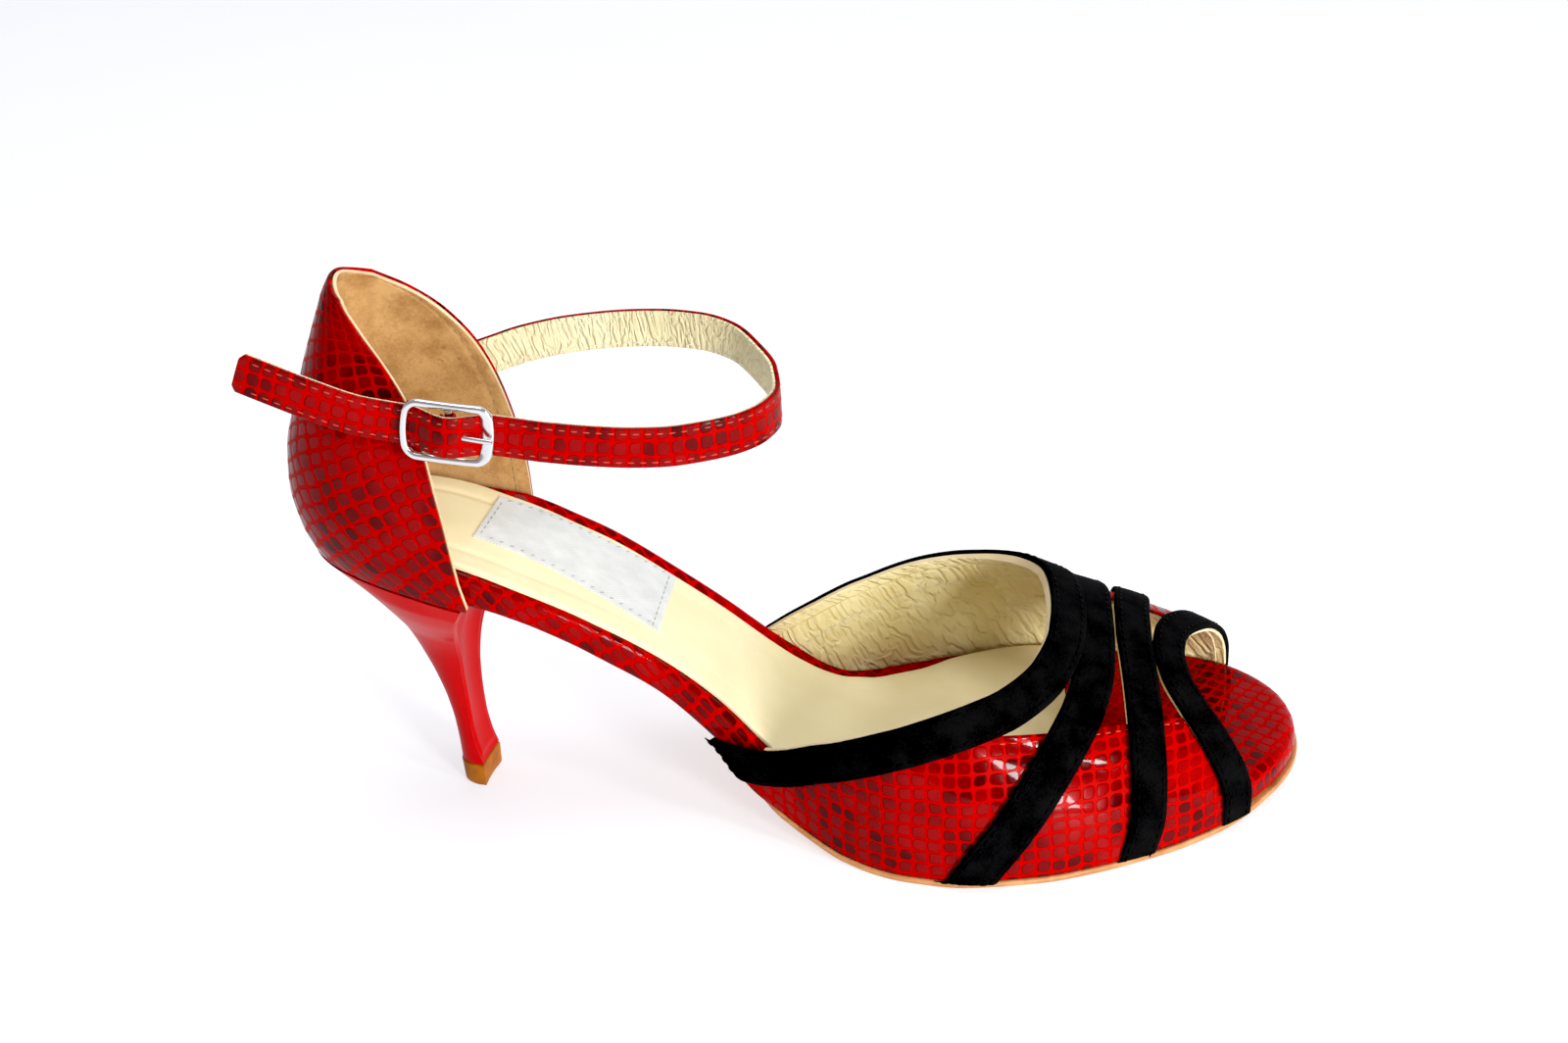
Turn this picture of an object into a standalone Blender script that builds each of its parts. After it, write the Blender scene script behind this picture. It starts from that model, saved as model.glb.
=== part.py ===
"""Open-toe dance shoe with a slim heel and an ankle strap, right foot.

Metres, +Z up. X runs from the back of the heel to the toe and +Y is the inner (big toe) side.
The shapes are worked out in a frame whose X starts at the back of the heel and whose floor is
z = 0. At the end everything is moved so that the origin is under the middle of the shoe.
"""
import math

import bmesh
import bpy
import numpy as np
from mathutils import Vector

# Driving sizes of the last
SHOE_LENGTH = 0.218
BALL_WIDTH = 0.0792
HEEL_HEIGHT = 0.0636
INSTEP_HEIGHT = 0.084
HEEL_TURN = math.radians(9.26)
TURN_START = 0.044
TURN_END = 0.070
HEEL_AXIS_X = 0.015
FIT_GAP = 0.0003

# Sole, insole and sock
OUTSOLE_THICKNESS = 0.0024
OUTSOLE_REAR_X = 0.0485
OUTSOLE_MARGIN = 0.0007
WAIST_INSET = 0.0045
WELT_START_X = 0.084
WELT_END_X = 0.100
SOCK_THICKNESS = 0.0012
SOCK_MARGIN = 0.0022
SOCK_END_X = 0.168
EDGE_ROUND = 0.0012
TOE_ROUND = 0.0034
TOE_ROUND_START_X = 0.196
INSOLE_STATIONS = 50
SOCK_STATIONS = 40
OUTSOLE_STATIONS = 44

# Upper
COUNTER_WALL = 0.002
COUNTER_HEIGHT = 0.059
VAMP_WALL = 0.0016
BAND_THICKNESS = 0.001
BAND_LIFT = 0.00045
BAND_MIN_GAP = 0.0002
BAND_WIDTH = 0.0092
COLLAR_WIDTH = 0.0085
WINDOW_MARGIN = 0.0008
WINDOW_REACH = 0.003
VAMP_ROWS = 31
VAMP_COLUMNS = 13
COUNTER_ROWS = 13
COUNTER_COLUMNS = 25
COUNTER_FIT = 0.0004
TOE_WELT_START_X = 0.196
TOE_WELT_END_X = 0.210
WAIST_SOLE_SHARE = 0.6

# Heel and its tip
TIP_HEIGHT = 0.0056
TIP_LIP = 0.0002
BREAST_HOLLOW = 0.0022
HEEL_COLUMNS = 19
HEEL_ROUNDING = 0.85

# Strap and buckle
STRAP_WIDTH = 0.0085
STRAP_THICKNESS = 0.0016
STRAP_CLEARANCE = 0.0005
TAB_THICKNESS = 0.0007
BUCKLE_LENGTH = 0.0188
BUCKLE_HEIGHT = 0.0130
BUCKLE_WIRE = 0.0015
BAR_WIRE = 0.0014
PRONG_WIRE = 0.0011
BAR_DROP = 0.0008
BAR_CLEARANCE = 0.0002
FRAME_RISE = 0.001
BUCKLE_CORNER = 0.0022
TAB_WIDTH = 0.0075
TAB_RADIUS = BAR_WIRE / 2 + BAR_CLEARANCE + TAB_THICKNESS
STRAP_RINGS = 44
SLOT_REACH = 0.0062
SLOT_START = 0.0012
SLOT_DEPTH = 0.008

# Plan of the insole: share of the length, then centre line, outer half and inner half as
# shares of the ball width
PLAN = (
    (0.031, 0.017, 0.000, 0.000),
    (0.046, 0.010, 0.126, 0.126),
    (0.073, -0.003, 0.184, 0.184),
    (0.110, -0.019, 0.220, 0.220),
    (0.151, -0.037, 0.242, 0.242),
    (0.193, -0.054, 0.253, 0.253),
    (0.239, -0.053, 0.258, 0.260),
    (0.298, -0.035, 0.250, 0.260),
    (0.358, -0.021, 0.244, 0.250),
    (0.413, -0.020, 0.260, 0.253),
    (0.459, -0.023, 0.298, 0.263),
    (0.505, -0.023, 0.364, 0.295),
    (0.550, -0.018, 0.447, 0.354),
    (0.606, -0.010, 0.523, 0.407),
    (0.665, 0.000, 0.556, 0.444),
    (0.725, 0.008, 0.545, 0.465),
    (0.780, 0.015, 0.510, 0.457),
    (0.835, 0.025, 0.457, 0.427),
    (0.890, 0.033, 0.391, 0.381),
    (0.936, 0.038, 0.318, 0.321),
    (0.972, 0.040, 0.220, 0.225),
    (0.993, 0.042, 0.116, 0.119),
    (1.000, 0.043, 0.000, 0.000),
)

# Side view of the insole: share of the length, then the foot side of the sock and the underside
# of the insole as shares of the heel height
PROFILE_TOP = (
    (0.000, 1.171),
    (0.092, 1.110),
    (0.138, 1.079),
    (0.174, 1.044),
    (0.206, 1.002),
    (0.239, 0.947),
    (0.275, 0.873),
    (0.321, 0.764),
    (0.367, 0.645),
    (0.413, 0.517),
    (0.459, 0.374),
    (0.486, 0.291),
    (0.514, 0.220),
    (0.541, 0.173),
    (0.573, 0.153),
    (0.619, 0.148),
    (0.849, 0.148),
    (0.917, 0.167),
    (1.000, 0.197),
)
PROFILE_BOTTOM = (
    (0.000, 1.016),
    (0.092, 0.954),
    (0.138, 0.925),
    (0.174, 0.899),
    (0.206, 0.869),
    (0.239, 0.821),
    (0.275, 0.744),
    (0.321, 0.627),
    (0.367, 0.503),
    (0.413, 0.346),
    (0.436, 0.258),
    (0.459, 0.189),
    (0.486, 0.132),
    (0.514, 0.085),
    (0.541, 0.057),
    (0.573, 0.046),
    (0.849, 0.046),
    (0.917, 0.066),
    (1.000, 0.104),
)

# Ridge of the last over the forefoot: share of the length, sideways place as a share of the
# ball width, height as a share of the instep height
RIDGE = (
    (0.380, 0.000, 1.000),
    (0.490, 0.025, 0.905),
    (0.569, 0.050, 0.786),
    (0.647, 0.070, 0.650),
    (0.688, 0.076, 0.577),
    (0.734, 0.088, 0.504),
    (0.780, 0.095, 0.446),
    (0.826, 0.095, 0.403),
    (0.872, 0.095, 0.358),
    (0.917, 0.088, 0.305),
    (0.945, 0.082, 0.262),
    (1.000, 0.063, 0.167),
)
GIRTH_FULLNESS = 0.9

# Bands over the forefoot: place along the shoe as a share of the length, and girth angle in
# degrees from the outer edge (0) over the ridge (90) to the inner edge (180)
COLLAR = (
    (0.440, 1.5),
    (0.485, 7.2),
    (0.532, 15.0),
    (0.579, 22.3),
    (0.622, 29.1),
    (0.667, 37.4),
    (0.700, 44.4),
    (0.738, 57.5),
    (0.758, 72.0),
    (0.764, 87.0),
    (0.760, 102.0),
    (0.744, 117.0),
    (0.705, 132.0),
    (0.660, 143.0),
    (0.620, 150.0),
    (0.580, 156.0),
    (0.540, 161.0),
    (0.500, 167.0),
    (0.455, 175.5),
)
BAND_TWO = (
    (0.668, 1.0),
    (0.693, 9.2),
    (0.713, 17.5),
    (0.733, 27.5),
    (0.752, 38.0),
    (0.769, 48.5),
    (0.783, 62.0),
    (0.790, 80.0),
    (0.793, 100.0),
    (0.786, 125.0),
    (0.768, 155.0),
    (0.752, 179.0),
)
BAND_THREE = (
    (0.820, 1.0),
    (0.827, 13.0),
    (0.829, 30.0),
    (0.829, 55.0),
    (0.829, 75.0),
    (0.833, 92.0),
    (0.838, 115.0),
    (0.838, 145.0),
    (0.832, 179.0),
)
BAND_FOUR = (
    (0.918, 1.0),
    (0.917, 11.0),
    (0.912, 22.0),
    (0.904, 32.0),
    (0.893, 42.5),
    (0.878, 54.0),
    (0.866, 65.0),
    (0.863, 75.0),
    (0.868, 84.0),
    (0.881, 93.0),
    (0.897, 105.0),
    (0.912, 121.0),
    (0.924, 140.0),
    (0.930, 160.0),
    (0.932, 179.0),
)
# Upper edge of the outer panel: share of the length and girth angle
OUTER_PANEL_TOP = (
    (0.600, 30.0),
    (0.685, 36.0),
    (0.733, 40.2),
    (0.778, 43.8),
    (0.849, 48.1),
    (0.900, 51.0),
)
INNER_PANEL_TOP = 102.0

# Counter: share of its height, then back, front and rounding length as shares of the shoe
# length and the half width as a share of the ball width, all on the heel's own axis
COUNTER_LEVELS = (
    (0.00, 0.0211, 0.2064, 0.156, 0.274),
    (0.10, 0.0106, 0.2041, 0.147, 0.292),
    (0.24, 0.0055, 0.2014, 0.138, 0.300),
    (0.38, 0.0092, 0.1954, 0.133, 0.293),
    (0.53, 0.0211, 0.1867, 0.126, 0.273),
    (0.66, 0.0344, 0.1743, 0.113, 0.245),
    (0.78, 0.0475, 0.1514, 0.101, 0.214),
    (0.88, 0.0590, 0.1216, 0.090, 0.179),
    (0.94, 0.0660, 0.1009, 0.078, 0.149),
    (1.00, 0.0761, 0.0849, 0.064, 0.114),
)

# Heel: share of the height from its tip to the seat, then back and front as shares of the shoe
# length, half width as a share of the ball width and the breast's hollow as a share of
# BREAST_HOLLOW
HEEL_LEVELS = (
    (0.00, 0.1326, 0.1633, 0.063, 0.10),
    (0.08, 0.1326, 0.1587, 0.061, 0.15),
    (0.19, 0.1312, 0.1555, 0.061, 0.20),
    (0.30, 0.1266, 0.1550, 0.062, 0.25),
    (0.42, 0.1179, 0.1555, 0.067, 0.35),
    (0.54, 0.1064, 0.1578, 0.081, 0.50),
    (0.66, 0.0940, 0.1624, 0.116, 0.75),
    (0.75, 0.0826, 0.1706, 0.167, 1.00),
    (0.84, 0.0688, 0.1807, 0.220, 1.10),
    (0.92, 0.0486, 0.1908, 0.258, 1.00),
)
HEEL_FRONT_X = 0.0434
COUNTER_FRONT_X = 0.0446

# Ankle strap: shares of the shoe length, ball width and counter top, from the inner side of the
# counter round the front of the ankle to the free end behind the outer side
STRAP_PATH = (
    (0.1975, 0.222, 0.783),
    (0.2294, 0.240, 0.797),
    (0.2752, 0.255, 0.809),
    (0.3211, 0.259, 0.815),
    (0.3670, 0.246, 0.818),
    (0.4083, 0.208, 0.819),
    (0.4427, 0.152, 0.812),
    (0.4679, 0.069, 0.795),
    (0.4853, -0.013, 0.775),
    (0.4900, -0.095, 0.761),
    (0.4794, -0.180, 0.756),
    (0.4495, -0.255, 0.753),
    (0.4083, -0.303, 0.753),
    (0.3670, -0.333, 0.759),
    (0.3257, -0.350, 0.769),
    (0.2844, -0.360, 0.781),
    (0.2431, -0.364, 0.792),
    (0.2018, -0.363, 0.803),
    (0.1606, -0.363, 0.816),
    (0.1147, -0.366, 0.840),
    (0.0826, -0.366, 0.864),
    (0.0505, -0.364, 0.890),
    (0.0184, -0.360, 0.916),
)
BUCKLE_SHARE_X = 0.2018


class Curve:
    """A smooth line through rows of a table, without overshoot."""

    def __init__(self, places, values):
        self.places = np.array(places, float)
        self.values = np.array(values, float)
        steps = np.diff(self.places)
        slopes = np.diff(self.values) / steps
        inner = np.zeros(len(self.places))
        for i in range(1, len(slopes)):
            before, after = slopes[i - 1], slopes[i]
            if before * after > 0:
                first = 2 * steps[i] + steps[i - 1]
                second = steps[i] + 2 * steps[i - 1]
                inner[i] = (first + second) / (first / before + second / after)
        inner[0] = slopes[0]
        inner[-1] = slopes[-1]
        self.slopes = inner

    def __call__(self, place):
        place = min(max(place, self.places[0]), self.places[-1])
        i = int(np.clip(np.searchsorted(self.places, place) - 1, 0, len(self.places) - 2))
        width = self.places[i + 1] - self.places[i]
        t = (place - self.places[i]) / width
        low, high = self.values[i], self.values[i + 1]
        slope_low, slope_high = self.slopes[i] * width, self.slopes[i + 1] * width
        return float(
            low * (2 * t**3 - 3 * t**2 + 1)
            + slope_low * (t**3 - 2 * t**2 + t)
            + high * (3 * t**2 - 2 * t**3)
            + slope_high * (t**3 - t**2)
        )


def columns(rows, *indices):
    places = [row[0] for row in rows]
    return [Curve(places, [row[i] for row in rows]) for i in indices]


def blend(x, start, end, low, high):
    """A soft step from low to high between start and end."""
    t = min(max((x - start) / (end - start), 0.0), 1.0)
    return low + (high - low) * t * t * (3 - 2 * t)


centre_share, = columns(PLAN, 1)
outer_square = Curve([row[0] for row in PLAN], [row[2] ** 2 for row in PLAN])
inner_square = Curve([row[0] for row in PLAN], [row[3] ** 2 for row in PLAN])
top_share, = columns(PROFILE_TOP, 1)
bottom_share, = columns(PROFILE_BOTTOM, 1)
ridge_y_share, ridge_z_share = columns(RIDGE, 1, 2)
counter_back, counter_front, counter_rounding, counter_half = columns(COUNTER_LEVELS, 1, 2, 3, 4)
BACK_X = PLAN[0][0] * SHOE_LENGTH
TREAD_SHARE = min(row[1] for row in PROFILE_BOTTOM)


def insole_top(x):
    return top_share(x / SHOE_LENGTH) * HEEL_HEIGHT - SOCK_THICKNESS - FIT_GAP


def insole_bottom(x):
    rise = (bottom_share(x / SHOE_LENGTH) - TREAD_SHARE) * HEEL_HEIGHT
    return OUTSOLE_THICKNESS + FIT_GAP + rise


def half_width(x, side):
    square = outer_square if side < 0 else inner_square
    return math.sqrt(max(square(x / SHOE_LENGTH), 0.0)) * BALL_WIDTH


def across(x):
    """Direction of the cross sections, which swing with the heel's own axis at the back."""
    turn = blend(x, TURN_START, TURN_END, HEEL_TURN, 0.0)
    return Vector((math.sin(turn), math.cos(turn)))


def station_angle(x):
    share = (x - BACK_X) / (SHOE_LENGTH - BACK_X)
    return math.acos(1 - 2 * min(max(share, 0.0), 1.0))


def station_x(angle):
    return BACK_X + (SHOE_LENGTH - BACK_X) * (1 - math.cos(angle)) / 2


def edge_point(angle):
    """Insole edge in plan: 0 is the back, pi the toe, and the outer side comes first."""
    x = station_x(angle)
    side = -1 if math.sin(angle) >= 0 else 1
    centre = Vector((x, centre_share(x / SHOE_LENGTH) * BALL_WIDTH))
    return centre + across(x) * (side * half_width(x, side))


def offset_edge(angle, offset):
    step = 0.01
    along = edge_point(angle + step) - edge_point(angle - step)
    outward = Vector((along.y, -along.x)).normalized()
    return edge_point(angle) + outward * offset


def seat_to_shoe(x, y):
    """From the heel's own axis to the shoe's axes."""
    forward = x - HEEL_AXIS_X
    return Vector((
        HEEL_AXIS_X + forward * math.cos(HEEL_TURN) + y * math.sin(HEEL_TURN),
        -forward * math.sin(HEEL_TURN) + y * math.cos(HEEL_TURN),
    ))


def make_material(name, colour, roughness, metallic=0.0):
    material = bpy.data.materials.new(name)
    material.use_nodes = True
    shader = material.node_tree.nodes["Principled BSDF"]
    shader.inputs["Base Color"].default_value = (*colour, 1.0)
    shader.inputs["Roughness"].default_value = roughness
    shader.inputs["Metallic"].default_value = metallic
    material.diffuse_color = (*colour, 1.0)
    return material


def add_object(name, mesh, material, collection):
    part = bpy.data.objects.new(name, mesh)
    mesh.materials.append(material)
    collection.objects.link(part)
    mesh.shade_smooth()
    mesh.set_sharp_from_angle(angle=math.radians(40))
    return part


def finish_mesh(name, bm):
    bmesh.ops.remove_doubles(bm, verts=bm.verts, dist=0.000001)
    bmesh.ops.recalc_face_normals(bm, faces=bm.faces)
    mesh = bpy.data.meshes.new(name)
    bm.to_mesh(mesh)
    bm.free()
    return mesh


def stack_mesh(name, angles, layers):
    """Rings round the insole's edge, one above the other, closed by strips below and above.

    A layer is a pair of functions of x: how far out from the edge, and how high.
    """
    bm = bmesh.new()
    rows = []
    for offset, height in layers:
        sides = []
        for sign in (1, -1):
            points = []
            for angle in angles:
                x = station_x(angle)
                point = offset_edge(sign * angle, offset(x))
                points.append(bm.verts.new((point.x, point.y, height(point.x))))
            sides.append(points)
        rows.append(sides)
    for low, high in zip(rows, rows[1:]):
        for side in (0, 1):
            for i in range(len(angles) - 1):
                bm.faces.new((low[side][i], low[side][i + 1], high[side][i + 1], high[side][i]))
        for i in (0, len(angles) - 1):
            bm.faces.new((low[0][i], low[1][i], high[1][i], high[0][i]))
    for outer, inner in (rows[0], rows[-1]):
        for i in range(len(angles) - 1):
            bm.faces.new((outer[i], outer[i + 1], inner[i + 1], inner[i]))
    bmesh.ops.dissolve_degenerate(bm, dist=0.000001, edges=bm.edges)
    return finish_mesh(name, bm)


def add_sheet(bm, rows):
    """Triangles through rows of points, always split along the same diagonal."""
    grid = [[bm.verts.new(point) for point in row] for row in rows]
    for low, high in zip(grid, grid[1:]):
        for i in range(len(low) - 1):
            bm.faces.new((low[i], low[i + 1], high[i + 1]))
            bm.faces.new((low[i], high[i + 1], high[i]))
    return grid


def grid_mesh(name, rows):
    """An open sheet through rows of points."""
    bm = bmesh.new()
    add_sheet(bm, rows)
    mesh = bpy.data.meshes.new(name)
    bm.to_mesh(mesh)
    bm.free()
    return mesh


def slab_mesh(name, outer, inner):
    """A closed plate between two sheets that have the same rows."""
    bm = bmesh.new()
    top, under = add_sheet(bm, outer), add_sheet(bm, inner)
    for j in range(len(top) - 1):
        for i in (0, len(top[0]) - 1):
            bm.faces.new((top[j][i], top[j + 1][i], under[j + 1][i], under[j][i]))
    for j in (0, len(top) - 1):
        for i in range(len(top[0]) - 1):
            bm.faces.new((top[j][i], top[j][i + 1], under[j][i + 1], under[j][i]))
    return finish_mesh(name, bm)


def ring_mesh(name, rings):
    """A closed solid through rings of points, with a flat cap at each end."""
    bm = bmesh.new()
    loops = [[bm.verts.new(point) for point in ring] for ring in rings]
    count = len(loops[0])
    for low, high in zip(loops, loops[1:]):
        for i in range(count):
            j = (i + 1) % count
            bm.faces.new((low[i], low[j], high[j], high[i]))
    bm.faces.new(loops[0])
    bm.faces.new(loops[-1])
    return finish_mesh(name, bm)


def spread(count, low=0.0, high=1.0):
    return [low + (high - low) * i / (count - 1) for i in range(count)]


def ridge_point(x):
    share = x / SHOE_LENGTH
    return Vector((x, ridge_y_share(share) * BALL_WIDTH, ridge_z_share(share) * INSTEP_HEIGHT))


def last_point(x, degrees):
    """Outside of the vamp before any offset."""
    turn = math.radians(degrees)
    side = 1 if degrees <= 90 else -1
    foot = offset_edge(side * station_angle(x), FIT_GAP + VAMP_WALL)
    ridge = ridge_point(x)
    spread_share = abs(math.cos(turn)) ** GIRTH_FULLNESS
    rise_share = math.copysign(abs(math.sin(turn)) ** GIRTH_FULLNESS, math.sin(turn))
    plan = Vector((ridge.x, ridge.y)).lerp(foot, spread_share)
    low = insole_bottom(plan.x)
    return Vector((plan.x, plan.y, low + (ridge.z - low) * rise_share))


def last_frame(x, degrees):
    """Point, steps per metre and per degree, and the outward direction on the last."""
    step_x, step_turn = 0.0005, 0.5
    along = last_point(x + step_x, degrees) - last_point(x - step_x, degrees)
    low = max(degrees - step_turn, 0.25)
    high = min(degrees + step_turn, 179.75)
    around = last_point(x, high) - last_point(x, low)
    normal = along.cross(around).normalized()
    return last_point(x, degrees), along / (2 * step_x), around / (high - low), normal


def upper_point(x, degrees, offset):
    point, _, _, normal = last_frame(x, degrees)
    return point + normal * offset


def beside(x, degrees, shift):
    """Place on the last that lies a vector away from another, in its coordinates."""
    for _ in range(3):
        _, along, around, _ = last_frame(x, degrees)
        part = shift / 3
        a, b, c = along.dot(along), along.dot(around), around.dot(around)
        p, q = part.dot(along), part.dot(around)
        scale = a * c - b * b
        x += (p * c - q * b) / scale
        degrees += (q * a - p * b) / scale
    return x, min(max(degrees, 0.0), 180.0)


def path_curves(table):
    """Place and girth as functions of the share of the path, spaced by real distance."""
    points = [last_point(x * SHOE_LENGTH, degrees) for x, degrees in table]
    reach = [0.0]
    for a, b in zip(points, points[1:]):
        reach.append(reach[-1] + (b - a).length)
    shares = [value / reach[-1] for value in reach]
    return Curve(shares, [row[0] for row in table]), Curve(shares, [row[1] for row in table])


def band_rows(table, half_width_here, count, across_count):
    """Rows of places on the last across a band, from its rear edge to its front edge."""
    place, girth = path_curves(table)
    rows = []
    for t in spread(count):
        x, degrees = place(t) * SHOE_LENGTH, girth(t)
        ahead = last_point(place(min(t + 0.01, 1)) * SHOE_LENGTH, girth(min(t + 0.01, 1)))
        behind = last_point(place(max(t - 0.01, 0)) * SHOE_LENGTH, girth(max(t - 0.01, 0)))
        normal = last_frame(x, degrees)[3]
        sideways = (ahead - behind).normalized().cross(normal)
        row = []
        for share in spread(across_count, -1.0, 1.0):
            row.append(beside(x, degrees, sideways * (share * half_width_here)))
        rows.append(row)
    return rows


def edges_by_girth(rows):
    """Rear and front edge of a band as functions of the girth angle."""
    edges = []
    for column in (0, -1):
        pairs = sorted((row[column][1], row[column][0]) for row in rows)
        edges.append(([pair[0] for pair in pairs], [pair[1] for pair in pairs]))
    return edges


def edge_x(edge, degrees):
    return float(np.interp(degrees, edge[0], edge[1]))


def lift_rows(rows, offset):
    return [[upper_point(x, degrees, offset) for x, degrees in row] for row in rows]


def vamp_rows(bands, reach, offset):
    """Rows over the whole vamp, from the collar's rear edge to the last band's front edge."""
    collar_rear = edges_by_girth(bands["collar_band"])[0]
    front_edge = edges_by_girth(bands["band_four"])[1]
    rows = []
    for degrees in spread(VAMP_ROWS, 0.0, 180.0):
        start = edge_x(collar_rear, degrees) + WINDOW_MARGIN / 2 - reach
        end = edge_x(front_edge, degrees) - WINDOW_MARGIN / 2 + reach
        rows.append([upper_point(x, degrees, offset) for x in spread(VAMP_COLUMNS, start, end)])
    return rows


def window_rows(behind, ahead, low, high):
    """Places in the gap between two bands, from one girth angle to another."""
    rear = edges_by_girth(behind)[1]
    front = edges_by_girth(ahead)[0]
    rows = []
    for degrees in spread(12, low, high):
        start = edge_x(rear, degrees) - WINDOW_MARGIN
        end = max(edge_x(front, degrees) + WINDOW_MARGIN, start + 2 * WINDOW_MARGIN)
        rows.append([(x, degrees) for x in spread(5, start, end)])
    return rows


def panel_rows(behind, ahead, high):
    """A gap whose lower end follows the outer panel's upper edge."""
    top = Curve([row[0] for row in OUTER_PANEL_TOP], [row[1] for row in OUTER_PANEL_TOP])
    rear = edges_by_girth(behind)[1]
    front = edges_by_girth(ahead)[0]
    rows = []
    for share in spread(12):
        row = []
        for across_share in spread(5):
            degrees = 40.0
            for _ in range(6):
                low_x = edge_x(rear, degrees) - WINDOW_MARGIN
                high_x = max(edge_x(front, degrees) + WINDOW_MARGIN, low_x + 2 * WINDOW_MARGIN)
                x = low_x + (high_x - low_x) * across_share
                low = top(x / SHOE_LENGTH)
                degrees = low + (high - low) * share
            row.append((x, degrees))
        rows.append(row)
    return rows


def solidify(part, thickness):
    modifier = part.modifiers.new("wall", "SOLIDIFY")
    modifier.thickness = thickness
    modifier.offset = -1
    modifier.use_even_offset = True


def boolean(part, other, operation):
    modifier = part.modifiers.new(operation.lower(), "BOOLEAN")
    modifier.operation = operation
    modifier.solver = "EXACT"
    modifier.object = other


def add_cutter(name, mesh, collection):
    cutter = bpy.data.objects.new(name, mesh)
    collection.objects.link(cutter)
    cutter.hide_render = True
    cutter.display_type = "WIRE"
    return cutter


def make_outsole():
    rear = station_angle(OUTSOLE_REAR_X)
    forepart = 2 * FIT_GAP + VAMP_WALL + BAND_THICKNESS

    def margin(x):
        if x < WELT_END_X:
            return blend(x, WELT_START_X, WELT_END_X, -WAIST_INSET, forepart)
        return blend(x, TOE_WELT_START_X, TOE_WELT_END_X, forepart, OUTSOLE_MARGIN)

    def top(x):
        return insole_bottom(x) - FIT_GAP

    def under(x):
        slope = (insole_bottom(x + 0.001) - insole_bottom(x - 0.001)) / 0.002
        thin = blend(x, WELT_START_X, WELT_END_X, WAIST_SOLE_SHARE, 1.0)
        return max(top(x) - OUTSOLE_THICKNESS * thin * math.hypot(1, slope), 0.0)

    layers = (
        (lambda x: margin(x) - EDGE_ROUND / 3, under),
        (margin, lambda x: under(x) + (top(x) - under(x)) * 0.3),
        (margin, top),
    )
    angles = spread(OUTSOLE_STATIONS, rear, math.pi)
    return stack_mesh("outsole", angles, layers)


def make_wrapped_insole():
    def rounding(x):
        room = insole_top(x) - insole_bottom(x) - 0.75 * EDGE_ROUND
        return min(blend(x, TOE_ROUND_START_X, SHOE_LENGTH, EDGE_ROUND, TOE_ROUND), room)

    layers = (
        (lambda x: -EDGE_ROUND, insole_bottom),
        (lambda x: 0.0, lambda x: insole_bottom(x) + EDGE_ROUND / 2),
        (lambda x: 0.0, lambda x: insole_top(x) - rounding(x)),
        (lambda x: -0.3 * rounding(x), lambda x: insole_top(x) - 0.3 * rounding(x)),
        (lambda x: -rounding(x), insole_top),
    )
    return stack_mesh("wrapped_insole", spread(INSOLE_STATIONS, 0.0, math.pi), layers)


def make_insole_room():
    """The insole grown by the fit gap."""
    layers = (
        (lambda x: FIT_GAP, lambda x: insole_bottom(x) - 0.001),
        (lambda x: FIT_GAP, lambda x: insole_top(x) - EDGE_ROUND),
        (lambda x: -EDGE_ROUND, lambda x: insole_top(x) + FIT_GAP),
    )
    return stack_mesh("insole_room", spread(INSOLE_STATIONS, 0.0, math.pi), layers)


def make_sock():
    def foot(x):
        return insole_top(x) + FIT_GAP + SOCK_THICKNESS

    layers = (
        (lambda x: -SOCK_MARGIN, lambda x: insole_top(x) + FIT_GAP),
        (lambda x: -SOCK_MARGIN, lambda x: insole_top(x) + FIT_GAP + SOCK_THICKNESS / 2),
        (lambda x: -SOCK_MARGIN - SOCK_THICKNESS / 2, foot),
    )
    return stack_mesh("insole_sock", spread(SOCK_STATIONS, 0.0, station_angle(SOCK_END_X)), layers)


def seat_curve(share, back, front, rounding, half):
    """Half of a U-shaped section on the heel's own axis; share runs from the back to the front."""
    x = back + (front - back) * (1 - math.cos(abs(share) * math.pi / 2))
    t = min((x - back) / rounding, 1.0)
    return x, math.copysign(half * math.sqrt(max(1 - (1 - t) ** 2, 0.0)), share)


def counter_level_point(share, level):
    """Outside of the counter at a share of its height, from one front edge round to the other."""
    x, y = seat_curve(
        share, counter_back(level) * SHOE_LENGTH, counter_front(level) * SHOE_LENGTH,
        counter_rounding(level) * SHOE_LENGTH, counter_half(level) * BALL_WIDTH,
    )
    point = seat_to_shoe(x, y)
    seat_x, seat_y = seat_curve(
        share, counter_back(0) * SHOE_LENGTH, counter_front(0) * SHOE_LENGTH,
        counter_rounding(0) * SHOE_LENGTH, counter_half(0) * BALL_WIDTH,
    )
    front_angle = station_angle(COUNTER_FRONT_X)
    base = offset_edge(-share * front_angle, COUNTER_FIT + COUNTER_WALL)
    point = point + (base - seat_to_shoe(seat_x, seat_y)) * (1 - level) ** 3
    low = insole_bottom(point.x)
    return Vector((point.x, point.y, low + (HEEL_HEIGHT + COUNTER_HEIGHT - low) * level))


def make_counter_mesh():
    rows = []
    for level in spread(COUNTER_ROWS):
        rows.append([counter_level_point(share, level) for share in spread(COUNTER_COLUMNS, -1.0, 1.0)])
    return grid_mesh("counter", rows)


def counter_edge(side, height):
    """Middle of the counter's wall just ahead of its front edge, at a height."""
    low, high = 0.0, 1.0
    for _ in range(30):
        level = (low + high) / 2
        if counter_level_point(side, level).z < height:
            low = level
        else:
            high = level
    point = counter_level_point(side, level)
    plan = seat_to_shoe(STRAP_CLEARANCE, -side * COUNTER_WALL / 2) - seat_to_shoe(0.0, 0.0)
    return Vector((point.x + plan.x, point.y + plan.y, height))


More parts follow.
